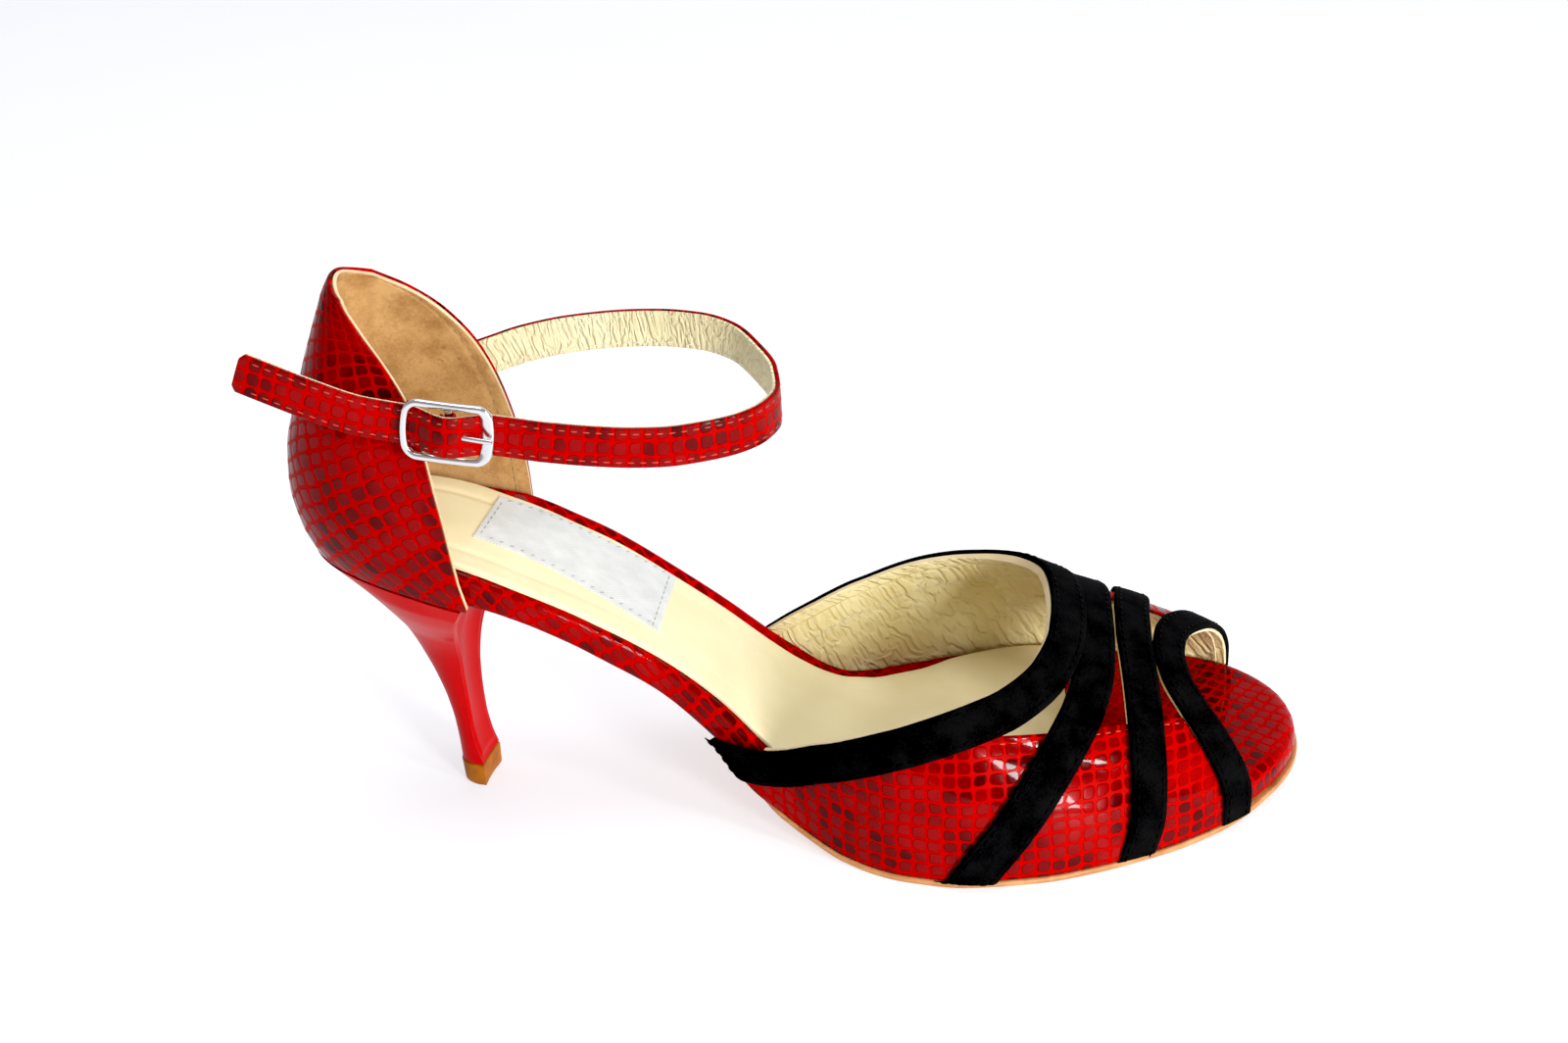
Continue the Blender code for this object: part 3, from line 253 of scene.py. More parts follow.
def across(x):
    turn = soft(x, last["turnStart"], last["turnEnd"], last["turn"], 0.0)
    return np.stack([np.sin(turn), np.cos(turn)], -1)


def stationAngle(x):
    share = (np.asarray(x, float) - backX) / (last["length"] - backX)
    return np.arccos(1 - 2 * np.clip(share, 0, 1))


def stationX(angle):
    return backX + (last["length"] - backX) * (1 - np.cos(angle)) / 2


def edgePoint(angle):
    angle = np.asarray(angle, float)
    x = stationX(angle)
    outer = np.sin(angle) >= 0
    square = np.where(outer, outerSquare(x / last["length"]), innerSquare(x / last["length"]))
    half = np.sqrt(np.maximum(square, 0)) * last["ball"]
    centre = np.stack([x, centreShare(x / last["length"]) * last["ball"]], -1)
    return centre + across(x) * (np.where(outer, -1, 1) * half)[..., None]


def edgeOut(angle):
    along = edgePoint(angle + 0.01) - edgePoint(angle - 0.01)
    return unit(np.stack([along[..., 1], -along[..., 0]], -1))


def offsetEdge(angle, offset):
    return edgePoint(angle) + edgeOut(angle) * np.asarray(offset)[..., None]


def seatToShoe(x, y):
    forward = x - last["axisX"]
    c, s = math.cos(last["turn"]), math.sin(last["turn"])
    return np.stack([last["axisX"] + forward * c + y * s, -forward * s + y * c], -1)


def lastPoint(x, degrees):
    x, degrees = np.broadcast_arrays(np.asarray(x, float), np.asarray(degrees, float))
    turn = np.radians(degrees)
    side = np.where(degrees <= 90, 1, -1)
    foot = offsetEdge(side * stationAngle(x), np.full(x.shape, last["gap"] + last["vampWall"]))
    share = x / last["length"]
    top = np.stack([x, ridgeY(share) * last["ball"]], -1)
    spread = np.abs(np.cos(turn)) ** last["fullness"]
    rise = np.abs(np.sin(turn)) ** last["fullness"] * np.sign(np.sin(turn))
    flat = top + (foot - top) * spread[..., None]
    low = insoleBottom(flat[..., 0])
    height = low + (ridgeZ(share) * last["instep"] - low) * rise
    return np.concatenate([flat, height[..., None]], -1)


def lastFrame(x, degrees):
    x, degrees = np.broadcast_arrays(np.asarray(x, float), np.asarray(degrees, float))
    along = lastPoint(x + 0.0005, degrees) - lastPoint(x - 0.0005, degrees)
    around = lastPoint(x, degrees + 0.5) - lastPoint(x, degrees - 0.5)
    normal = unit(np.cross(along, around))
    return lastPoint(x, degrees), along / 0.001, around, normal


def upperPoint(x, degrees, offset):
    point, _, _, normal = lastFrame(x, degrees)
    return point + normal * np.broadcast_to(np.asarray(offset, float), point.shape[:-1])[..., None]


def beside(x, degrees, shift):
    # the place on the last that lies off to a side of another one, found in small steps
    def dot(p, q):
        return (p * q).sum(-1)

    x, degrees = np.array(x, float), np.array(degrees, float)
    part = shift / 4
    for _ in range(4):
        _, along, around, _ = lastFrame(x, degrees)
        a, b, c = dot(along, along), dot(along, around), dot(around, around)
        p, q = dot(part, along), dot(part, around)
        scale = a * c - b * b
        x = x + (p * c - q * b) / scale
        degrees = degrees + (q * a - p * b) / scale
    return x, np.clip(degrees, footTurn(x), 180 - footTurn(x))


def footTurn(x):
    # the girth at which the upper's foot ends, a little below the insole, over the sole's edge
    low = insoleBottom(x)
    drop = np.clip(low - soft(x, 0.092, 0.108, 0.0, 0.0015) - bottomEdge(x), 0.0, 0.004)
    share = drop * soft(x, 0.090, 0.102, 0.1, 1.0) / (ridgeZ(x / last["length"]) * last["instep"] - low)
    return -np.degrees(np.arcsin(share ** (1 / last["fullness"])))


def bottomEdge(x):
    # the sole's underside at the waist, and the floor further forward
    slope = (insoleBottom(x + 0.001) - insoleBottom(x - 0.001)) / 0.002
    thin = soft(x, *sole["welt"], sole["waistShare"], 1.0)
    return np.maximum(insoleBottom(x) - last["gap"] - last["solePly"] * thin * np.hypot(1, slope), 0.0)


def pathAt(rows, count):
    xs = np.array([row[0] for row in rows]) * last["length"]
    turns = np.array([row[1] for row in rows])
    points = lastPoint(xs, turns)
    reach = runAlong(points)
    shares = reach / reach[-1]
    place, girth = Curve(shares, xs), Curve(shares, turns)
    t = np.linspace(0, 1, count)
    x, degrees = place(t), girth(t)
    ahead = lastPoint(place(np.minimum(t + 0.01, 1)), girth(np.minimum(t + 0.01, 1)))
    behind = lastPoint(place(np.maximum(t - 0.01, 0)), girth(np.maximum(t - 0.01, 0)))
    normal = lastFrame(x, degrees)[3]
    sideways = np.cross(unit(ahead - behind), normal)
    return x, degrees, sideways, reach[-1]


# meshes
def addPiece(name, verts, faces, node, keys, uvs=None, kinds=None):
    # keys name the materials; the first of them is passed on to settle
    mesh = bpy.data.meshes.new(name)
    mesh.from_pydata([Vector(v) + origin for v in verts], [], faces)
    if uvs is not None:
        layer = mesh.uv_layers.new(name="UVMap")
        loops = np.empty(len(mesh.loops), int)
        mesh.loops.foreach_get("vertex_index", loops)
        layer.data.foreach_set("uv", np.asarray(uvs, float)[loops].ravel())
    for key in keys:
        mesh.materials.append(mats[key])
    if kinds is not None:
        mesh.polygons.foreach_set("material_index", kinds)
    bm = bmesh.new()
    bm.from_mesh(mesh)
    bmesh.ops.remove_doubles(bm, verts=bm.verts, dist=0.000001)
    bmesh.ops.recalc_face_normals(bm, faces=bm.faces)
    bm.to_mesh(mesh)
    bm.free()
    piece = bpy.data.objects.new(name, mesh)
    bpy.context.scene.collection.objects.link(piece)
    mesh.shade_smooth()
    mesh.set_sharp_from_angle(angle=math.radians(50))
    settle(piece, node, keys[0])


def settle(piece, node, key):
    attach(piece, "root")
    if node:
        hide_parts(node)


def gridFaces(rows, columns, start=0, wrap=False):
    faces = []
    for j in range(rows - 1):
        low, high = start + j * columns, start + (j + 1) * columns
        for i in range(columns if wrap else columns - 1):
            k = (i + 1) % columns
            faces.append((low + i, low + k, high + k, high + i))
    return faces


def ringsPiece(name, rings, node, key, uvs=None):
    # a closed solid through rings of points, capped at both ends
    rings = np.asarray(rings)
    count, size = rings.shape[:2]
    faces = gridFaces(count, size, wrap=True)
    verts = rings.reshape(-1, 3)
    flat = None if uvs is None else np.asarray(uvs).reshape(-1, 2)
    for first in (0, (count - 1) * size):
        if flat is not None:
            flat = np.vstack([flat, flat[first:first + size].mean(0)])
        verts = np.vstack([verts, verts[first:first + size].mean(0)])
        faces += [(first + i, first + (i + 1) % size, len(verts) - 1) for i in range(size)]
    addPiece(name, verts, faces, node, (key,), flat)


def slabPiece(name, top, under, node, keys, uvs, edge):
    # two sheets joined by a rim that is rounded a little and has the last of the materials
    rows, columns = top.shape[:2]
    soften = np.zeros((rows, columns, 1))
    soften[0], soften[-1], soften[:, 0], soften[:, -1] = 1, 1, 1, 1
    inward = unit(top - under) * soften * edge
    verts = np.concatenate([(top - inward).reshape(-1, 3), (under + inward).reshape(-1, 3)])
    faces = gridFaces(rows, columns) + gridFaces(rows, columns, rows * columns)
    border = [(0, i) for i in range(columns)] + [(j, columns - 1) for j in range(1, rows)]
    border += [(rows - 1, i) for i in range(columns - 2, -1, -1)] + [(j, 0) for j in range(rows - 2, 0, -1)]
    index = [j * columns + i for j, i in border]
    shift = rows * columns
    kinds = [0] * len(faces) + [len(keys) - 1] * len(index)
    faces += [(a, b, b + shift, a + shift) for a, b in zip(index, index[1:] + index[:1])]
    addPiece(name, verts, faces, node, keys, np.tile(uvs.reshape(-1, 2), (2, 1)), kinds)


def tidyRows(count, inset=0.012):
    # shares with two close rows at each end, so that a rim stays narrow
    return np.concatenate([[0, inset], np.linspace(inset * 2, 1 - inset * 2, count), [1 - inset, 1]])


def surfaceUv(points, turnDegrees=0.0):
    # lengths along the rows and along the columns of a sheet, turned
    def lengths(axis):
        steps = np.linalg.norm(np.diff(points, axis=axis), axis=2)
        start = np.zeros_like(np.take(points[..., 0], [0], axis))
        return np.concatenate([start, np.cumsum(steps, axis=axis)], axis)

    u, v = lengths(1), lengths(0)
    u = u - u[:, u.shape[1] // 2][:, None]
    return turned(np.stack([u, v], -1), turnDegrees)


def turned(uv, degrees):
    c, s = math.cos(math.radians(degrees)), math.sin(math.radians(degrees))
    return np.stack([uv[..., 0] * c - uv[..., 1] * s, uv[..., 0] * s + uv[..., 1] * c], -1)


# materials
class Socket:
    def __init__(self, graph, socket):
        self.graph, self.socket = graph, socket

    def __add__(self, other):
        return self.graph.math("ADD", self, other)

    def __radd__(self, other):
        return self.graph.math("ADD", other, self)

    def __sub__(self, other):
        return self.graph.math("SUBTRACT", self, other)

    def __mul__(self, other):
        return self.graph.math("MULTIPLY", self, other)

    def __truediv__(self, other):
        return self.graph.math("DIVIDE", self, other)


class Graph:
    def __init__(self, name, **values):
        self.material = bpy.data.materials.new(name)
        self.material.use_nodes = True
        self.nodes = self.material.node_tree.nodes
        self.links = self.material.node_tree.links
        self.shader = self.nodes["Principled BSDF"]
        for key, value in values.items():
            socket = self.shader.inputs[key.replace("_", " ")]
            socket.default_value = (*value, 1.0) if isinstance(value, tuple) and len(value) == 3 else value

    def put(self, target, value):
        if isinstance(value, Socket):
            self.links.new(value.socket, target)
        elif isinstance(value, tuple) and len(value) == 3 and target.type == "RGBA":
            target.default_value = (*value, 1.0)
        else:
            target.default_value = value

    def node(self, kind, output=0, settings=None, **inputs):
        node = self.nodes.new(kind)
        for key, value in (settings or {}).items():
            setattr(node, key, value)
        for key, value in inputs.items():
            self.put(node.inputs[key.replace("_", " ")], value)
        return Socket(self, node.outputs[output])

    def math(self, operation, *values, clamp=False):
        node = self.nodes.new("ShaderNodeMath")
        node.operation = operation
        node.use_clamp = clamp
        for socket, value in zip(node.inputs, values):
            self.put(socket, value)
        return Socket(self, node.outputs[0])

    def uv(self):
        return self.node("ShaderNodeUVMap")

    def place(self):
        return self.node("ShaderNodeTexCoord", "Object")

    def noise(self, at, scale, detail=3.0, rough=0.5, output=0):
        return self.node("ShaderNodeTexNoise", output, Vector=at, Scale=scale, Detail=detail, Roughness=rough)

    def ramp(self, value, low, high, start=0.0, end=1.0):
        return self.node("ShaderNodeMapRange", settings={"interpolation_type": "SMOOTHSTEP"}, Value=value,
                         From_Min=low, From_Max=high, To_Min=start, To_Max=end)

    def mix(self, factor, a, b):
        node = self.nodes.new("ShaderNodeMix")
        node.data_type = "RGBA"
        self.put(node.inputs[0], factor)
        self.put(node.inputs[6], a)
        self.put(node.inputs[7], b)
        return Socket(self, node.outputs[2])

    def parts(self, vector):
        node = self.nodes.new("ShaderNodeSeparateXYZ")
        self.put(node.inputs[0], vector)
        return [Socket(self, output) for output in node.outputs]

    def join(self, x, y, z=0.0):
        return self.node("ShaderNodeCombineXYZ", X=x, Y=y, Z=z)

    def bump(self, height, distance, strength=1.0):
        node = self.nodes.new("ShaderNodeBump")
        node.inputs["Strength"].default_value = strength
        node.inputs["Distance"].default_value = distance
        self.put(node.inputs["Height"], height)
        return Socket(self, node.outputs[0])

    def set(self, **sockets):
        for key, value in sockets.items():
            self.put(self.shader.inputs[key.replace("_", " ")], value)
        return self.material


def snakeLeather():
    # small rounded scales in a slightly uneven grid, dark and glossy, with bright red between
    g = Graph("snakeLeather", Specular_IOR_Level=0.02, Coat_Roughness=0.04)
    uv = g.uv()
    sway = g.noise(uv, 160.0, 1.0, output="Color")
    sx, sy, _ = g.parts(sway)
    x, y, _ = g.parts(uv)
    x = x / tile["pitch"][0] + (sx - 0.5) * 0.55
    y = y / tile["pitch"][1] + (sy - 0.5) * 0.55
    cellX, cellY = g.math("FLOOR", x), g.math("FLOOR", y)
    fx, fy = g.math("FRACT", x) - 0.5, g.math("FRACT", y) - 0.5
    pick = g.node("ShaderNodeTexWhiteNoise", 1, {"noise_dimensions": "2D"}, Vector=g.join(cellX, cellY))
    r1, r2, r3 = g.parts(pick)
    size = 0.40 + (r1 - 0.5) * 0.05
    power = lambda v: g.math("POWER", g.math("ABSOLUTE", v) / size, 3.2)
    reach = g.math("POWER", power(fx) + power(fy), 1 / 3.2)
    scale = g.ramp(reach, 1.06, 0.90)
    dark = g.mix(g.ramp(r2, 0.1, 0.95), (0.060, 0.0015, 0.0020), (0.200, 0.0020, 0.002))
    patch = g.noise(uv, 55.0, 2.0)
    dark = g.mix(g.ramp(patch, 0.42, 0.66), dark, (0.30, 0.003, 0.003))
    bright = g.mix(g.noise(uv, 900.0, 2.0), (0.36, 0.002, 0.002), (0.46, 0.004, 0.003))
    fine = g.noise(g.place(), 2600.0, 3.0)
    dome = g.math("SUBTRACT", 1.0, g.math("POWER", reach, 3.0), clamp=True)
    tilt = (r1 - 0.5) * fx + (r3 - 0.5) * fy
    height = scale * 0.8 + dome * 0.14 + tilt * 0.5 * scale + fine * 0.04
    return g.set(
        Base_Color=g.mix(scale, bright, dark),
        Roughness=g.ramp(scale, 0.0, 1.0, 0.42, 0.16) + (fine - 0.5) * 0.06,
        Coat_Weight=g.ramp(scale, 0.2, 1.0, 0.02, 0.24),
        Normal=g.bump(height, 0.00022, 0.9),
    )


def suede(name, low, high, bump):
    g = Graph(name, Roughness=0.95, Specular_IOR_Level=0.08)
    at = g.place()
    nap = g.noise(at, 2400.0, 5.0, 0.7)
    cloud = g.noise(at, 190.0, 3.0)
    shade = g.ramp(nap * 0.55 + cloud * 0.45, 0.36, 0.64)
    return g.set(Base_Color=g.mix(shade, low, high), Normal=g.bump(nap, bump, 0.6))


def smoothLeather(name, low, high, roughness, coat=0.0, wrinkles=0.0, pores=0.5, crease=300.0):
    g = Graph(name, Specular_IOR_Level=0.45, Coat_Roughness=0.2, Coat_Weight=coat)
    at, uv = g.place(), g.uv()
    cloud = g.noise(at, 70.0, 3.0)
    fine = g.node("ShaderNodeTexVoronoi", 0, {"feature": "DISTANCE_TO_EDGE"}, Vector=at, Scale=2200.0)
    height = g.ramp(fine, 0.0, 0.12) * pores * 0.2
    if wrinkles:
        x, y, _ = g.parts(uv)
        bend = g.noise(uv, 90.0, 2.0)
        wave = g.noise(g.join(x * crease + bend * 1.6, y * (crease * 0.35) + bend * 3.0), 1.0, 2.0, 0.45)
        fold = g.ramp(g.math("ABSOLUTE", wave - 0.5), 0.0, 0.14)
        height = height + fold * wrinkles
    shade = g.mix(g.ramp(cloud, 0.3, 0.7), low, high)
    relief = g.bump(height, 0.0006 if wrinkles else 0.0003, 0.8 if wrinkles else 0.55)
    gloss = g.ramp(cloud, 0.3, 0.7, roughness - 0.05, roughness + 0.06)
    return g.set(Base_Color=shade, Roughness=gloss, Normal=relief)


def tanLining():
    g = Graph("tanSuedeLining", Roughness=0.92, Specular_IOR_Level=0.06)
    at = g.place()
    nap = g.noise(at, 1700.0, 5.0, 0.7)
    cloud = g.noise(at, 120.0, 5.0, 0.65)
    specks = g.ramp(g.noise(at, 420.0, 2.0), 0.66, 0.74)
    colour = g.mix(g.ramp(cloud * 0.7 + nap * 0.3, 0.36, 0.62), (0.40, 0.21, 0.075), (0.61, 0.37, 0.155))
    return g.set(Base_Color=g.mix(specks * 0.45, colour, (0.22, 0.11, 0.05)), Normal=g.bump(nap, 0.00015, 0.5))


def soleLeather():
    g = Graph("tanSoleLeather", Specular_IOR_Level=0.35)
    at = g.place()
    x, y, z = g.parts(at)
    plies = g.noise(g.join(x * 60.0, y * 60.0, z * 2600.0), 1.0, 3.0, 0.6)
    cloud = g.noise(at, 140.0, 4.0, 0.6)
    colour = g.mix(g.ramp(cloud * 0.6 + plies * 0.4, 0.34, 0.66), (0.40, 0.155, 0.045), (0.63, 0.31, 0.125))
    scuff = g.ramp(g.noise(at, 520.0, 5.0, 0.75), 0.56, 0.72)
    return g.set(
        Base_Color=g.mix(scuff * 0.35, colour, (0.72, 0.47, 0.27)),
        Roughness=g.ramp(cloud, 0.3, 0.7, 0.48, 0.68),
        Normal=g.bump(plies, 0.00012, 0.5),
    )


def lacquer():
    g = Graph("redLacquer", Roughness=0.35, Coat_Weight=0.12, Coat_Roughness=0.08, Specular_IOR_Level=0.03)
    at = g.place()
    cloud = g.noise(at, 60.0, 2.0)
    wave = g.noise(at, 240.0, 2.0)
    colour = g.mix(cloud, (0.44, 0.002, 0.003), (0.53, 0.004, 0.004))
    return g.set(Base_Color=colour, Normal=g.bump(wave, 0.00006, 0.5))


def tipRubber():
    g = Graph("heelTipRubber", Specular_IOR_Level=0.12)
    at = g.place()
    cloud = g.noise(at, 260.0, 4.0, 0.6)
    fine = g.noise(at, 2600.0, 3.0)
    return g.set(
        Base_Color=g.mix(g.ramp(cloud, 0.3, 0.7), (0.29, 0.080, 0.005), (0.42, 0.140, 0.010)),
        Roughness=g.ramp(cloud, 0.3, 0.7, 0.40, 0.56),
        Normal=g.bump(fine, 0.00008, 0.4),
    )


def nickel():
    g = Graph("polishedNickel", Base_Color=(0.78, 0.78, 0.79), Metallic=1.0)
    at = g.place()
    smear = g.noise(at, 420.0, 4.0, 0.6)
    scratch = g.noise(at, 3000.0, 2.0)
    return g.set(Roughness=g.ramp(smear, 0.35, 0.7, 0.10, 0.22), Normal=g.bump(scratch, 0.00003, 0.35))


def thread(name, colour, shine=0.4):
    g = Graph(name, Roughness=0.6, Specular_IOR_Level=shine)
    twist = g.noise(g.place(), 5200.0, 2.0)
    shade = g.mix(twist, tuple(c * 0.75 for c in colour), colour)
    return g.set(Base_Color=shade, Normal=g.bump(twist, 0.00006, 0.6))


def wovenLabel():
    g = Graph("wovenLabel", Roughness=0.8, Specular_IOR_Level=0.25, Sheen_Weight=0.1)
    uv = g.uv()
    x, y, _ = g.parts(uv)
    warp = g.math("SINE", x * 9000.0)
    weft = g.math("SINE", y * 7000.0)
    cloth = warp * weft
    cloud = g.noise(uv, 260.0, 2.0)
    shade = g.mix(g.ramp(cloth * 0.25 + cloud, 0.1, 0.9), (0.57, 0.58, 0.565), (0.69, 0.70, 0.685))
    return g.set(Base_Color=shade, Normal=g.bump(cloth, 0.00006, 0.6))


mats = {
    "snake": snakeLeather(),
    "suede": suede("blackSuede", (0.0012, 0.0012, 0.0013), (0.0060, 0.0058, 0.0060), 0.00018),
    "cream": smoothLeather("creamSock", (0.80, 0.70, 0.42), (0.85, 0.76, 0.48), 0.42, pores=0.5),
    "lining": smoothLeather("creamLining", (0.86, 0.72, 0.34), (0.95, 0.84, 0.46), 0.27, 0.5, wrinkles=1.0),
    "strapLining": smoothLeather(
        "strapLining", (0.80, 0.71, 0.42), (0.88, 0.81, 0.53), 0.36, wrinkles=0.8, crease=640.0,
    ),
    "rawEdge": smoothLeather("rawEdge", (0.62, 0.47, 0.27), (0.76, 0.62, 0.40), 0.8),
    "tan": tanLining(),
    "sole": soleLeather(),
    "lacquer": lacquer(),
    "tip": tipRubber(),
    "nickel": nickel(),
    "blackThread": thread("blackThread", (0.0035, 0.0035, 0.0040), 0.05),
    "greyThread": thread("greyThread", (0.42, 0.41, 0.38)),
    "redThread": thread("redThread", (0.55, 0.06, 0.03)),
    "creamThread": thread("creamThread", (0.86, 0.80, 0.62)),
    "tanThread": thread("tanThread", (0.45, 0.30, 0.16)),
    "label": wovenLabel(),
}
print("materials made")


# stitches: one node group places a small rounded bead on every point
def stitchGroup():
    group = bpy.data.node_groups.new("stitches", "GeometryNodeTree")
    group.interface.new_socket("Geometry", in_out="INPUT", socket_type="NodeSocketGeometry")
    group.interface.new_socket("Size", in_out="INPUT", socket_type="NodeSocketVector")
    group.interface.new_socket("Material", in_out="INPUT", socket_type="NodeSocketMaterial")
    group.interface.new_socket("Geometry", in_out="OUTPUT", socket_type="NodeSocketGeometry")
    nodes, links = group.nodes, group.links
    start, end = nodes.new("NodeGroupInput"), nodes.new("NodeGroupOutput")
    bead = nodes.new("GeometryNodeMeshUVSphere")
    bead.inputs["Segments"].default_value = 8
    bead.inputs["Rings"].default_value = 6
    bead.inputs["Radius"].default_value = 0.5
    place = nodes.new("GeometryNodeInstanceOnPoints")
    up, along = nodes.new("GeometryNodeInputNamedAttribute"), nodes.new("GeometryNodeInputNamedAttribute")
    up.data_type = along.data_type = "FLOAT_VECTOR"
    up.inputs["Name"].default_value, along.inputs["Name"].default_value = "up", "along"
    turns = []
    for axis, source, pivot in (("Z", up, "AUTO"), ("X", along, "Z")):
        turn = nodes.new("FunctionNodeAlignRotationToVector")
        turn.axis, turn.pivot_axis = axis, pivot
        links.new(source.outputs[0], turn.inputs["Vector"])
        turns.append(turn)
    links.new(turns[0].outputs[0], turns[1].inputs["Rotation"])
    real, paint = nodes.new("GeometryNodeRealizeInstances"), nodes.new("GeometryNodeSetMaterial")
    links.new(start.outputs["Geometry"], place.inputs["Points"])
    links.new(bead.outputs["Mesh"], place.inputs["Instance"])
    links.new(turns[1].outputs[0], place.inputs["Rotation"])
    links.new(start.outputs["Size"], place.inputs["Scale"])
    links.new(place.outputs[0], real.inputs[0])
    links.new(real.outputs[0], paint.inputs["Geometry"])
    links.new(start.outputs["Material"], paint.inputs["Material"])
    links.new(paint.outputs[0], end.inputs[0])
    return group


stitchNodes = stitchGroup()


def addStitches(name, lines, key, size):
    # each line is points with their upward directions; beads lie along it at the thread's pitch
    spots, ups, alongs = [], [], []
    for points, normals in lines:
        reach = runAlong(points)
        for at in np.arange(stitch["pitch"] / 2, reach[-1], stitch["pitch"]):
            i = min(np.searchsorted(reach, at) - 1, len(points) - 2)
            t = (at - reach[i]) / max(reach[i + 1] - reach[i], 1e-9)
            spots.append(points[i] * (1 - t) + points[i + 1] * t)
            ups.append(unit(normals[i] * (1 - t) + normals[i + 1] * t))
            alongs.append(unit(points[i + 1] - points[i]))
    mesh = bpy.data.meshes.new(name)
    mesh.from_pydata([Vector(p) + origin for p in spots], [], [])
    for attribute, values in (("up", ups), ("along", alongs)):
        layer = mesh.attributes.new(attribute, "FLOAT_VECTOR", "POINT")
        layer.data.foreach_set("vector", np.array(values).ravel())
    maker = bpy.data.objects.new(name, mesh)
    bpy.context.scene.collection.objects.link(maker)
    modifier = maker.modifiers.new("stitches", "NODES")
    modifier.node_group = stitchNodes
    inputs = {item.name: item.identifier for item in stitchNodes.interface.items_tree if item.in_out == "INPUT"}
    modifier[inputs["Size"]] = size
    modifier[inputs["Material"]] = mats[key]
    done = bpy.data.meshes.new_from_object(maker.evaluated_get(bpy.context.evaluated_depsgraph_get()))
    maker.modifiers.clear()
    maker.data = done
    done.shade_smooth()
    settle(maker, None, key)


# sole and insole
def rimRise(x):
    # the inner side of the arch stands up a little, as a cupped board does
    return soft(x, *insole["rimFrom"]) * soft(x, *insole["rimTo"], 1.0, 0.0)


def stackPiece(name, angles, layers, node, key, rim=False):
    # layers of (offset from the edge, height); the last and the first are closed across
    x = stationX(angles)
    sides = []
    for sign in (1, -1):
        rows, reach, before = [], 0.0, None
        for offset, height in layers:
            inset = -np.broadcast_to(offset(x), x.shape)
            cup = rimRise(x) * soft(inset, 0.0, insole["rimWidth"], 1.0, 0.0) if rim and sign < 0 else 0.0 * x
            flat = offsetEdge(sign * angles, cup * insole["rimOut"] - inset)
            z = height(flat[:, 0])
            share = np.clip((z - insoleBottom(flat[:, 0])) / insole["rimFade"], 0, 1)
            points = np.concatenate([flat, (z + cup * insole["rimRise"] * share)[:, None]], 1)
            if before is not None:
                reach = reach + np.linalg.norm(points - before, axis=1)
            before = points
            rows.append((points, reach))
        out, inner = edgeOut(sign * angles), before[:, :2]
        sides += [(points, inner + out * (reach - run)[:, None]) for points, run in rows]
    verts, uvs = (np.concatenate(group) for group in zip(*sides))
    count, depth = len(angles), len(layers)

    def quad(*corners):
        return tuple((side * depth + layer) * count + i for side, layer, i in corners)

    faces = gridFaces(depth, count) + gridFaces(depth, count, depth * count)
    for k in range(depth - 1):
        faces += [quad((0, k, i), (1, k, i), (1, k + 1, i), (0, k + 1, i)) for i in (0, count - 1)]
    for k in (0, depth - 1):
        faces += [quad((0, k, i), (0, k, i + 1), (1, k, i + 1), (1, k, i)) for i in range(count - 1)]
    addPiece(name, verts, faces, node, (key,), turned(uvs, tile["soleTurn"]))


def makeOutsole():
    def margin(x):
        waist = soft(x, *sole["welt"], -sole["waistInset"], sole["forepart"])
        toe = soft(x, *sole["toeWelt"], sole["forepart"], sole["margin"])
        return np.where(x < sole["welt"][1], waist, toe)

    def top(x):
        return insoleBottom(x) - last["gap"]

    def layer(inset, rise):
        # a height above the underside that stays under the step at the welt
        def height(x):
            return bottomEdge(x) + np.minimum(rise, 0.7 * (top(x) - bottomEdge(x)))
        return lambda x: margin(x) - inset, height

    e, step, inset = sole["edge"], sole["step"], sole["stepInset"]
    layers = [layer(6 * e, 0.0), layer(e, 0.0)]
    layers += [layer(e * (1 - math.sin(turn)), e * (1 - math.cos(turn))) for turn in (0.6, 1.1)]
    layers += [layer(0.0, e), layer(0.0, step - e * 0.5), layer(e * 0.4, step - e * 0.1), layer(e, step)]
    layers += [layer(inset, step + 0.00004), (lambda x: margin(x) - inset, top)]
    angles = np.linspace(float(stationAngle(sole["rear"])), math.pi, 260)
    stackPiece("outsole_leather", angles, layers, "outsole", "sole")


def makeInsole():
    def rounding(x):
        return soft(x, insole["toeStart"], last["length"], insole["edgeRound"], insole["toeRound"])

    def foot(x, height=0.0):
        # at the toe the leather laps over the sole's edge, as the upper does further back
        return insoleBottom(x) - soft(x, *insole["lap"], 0.0, insole["lapDrop"]) + height

    def wall(share):
        low, high = 1 - share, share
        return lambda x: 0.0, lambda x: foot(x, e / 2) * low + high * (insoleTop(x) - rounding(x))

    def bend(turn):
        inset, drop = 1 - math.cos(turn), 1 - math.sin(turn)
        return lambda x: -rounding(x) * inset, lambda x: insoleTop(x) - rounding(x) * drop

    def floor(inset):
        return lambda x: -np.maximum(rounding(x), np.minimum(inset, 0.92 * narrow(x))), insoleTop

    e = insole["edgeRound"]
    layers = [(lambda x: -e, foot), (lambda x: -0.3 * e, lambda x: foot(x, e * 0.12))]
    layers += [wall(share) for share in (0.0, 0.2, 0.4, 0.6, 0.8)]
    layers += [bend(turn) for turn in np.radians((0, 18, 36, 54, 72, 90))]
    layers += [floor(inset) for inset in (0.0022, 0.003, 0.004, 0.006, 0.009, 0.012, 0.015)]
    stackPiece("wrapped_insole_leather", np.linspace(0.0, math.pi, 320), layers, "wrapped_insole", "snake", True)


def narrow(x):
    # half the width of the insole at a station
    share = x / last["length"]
    return np.sqrt(np.maximum(np.minimum(outerSquare(share), innerSquare(share)), 1e-9)) * last["ball"]


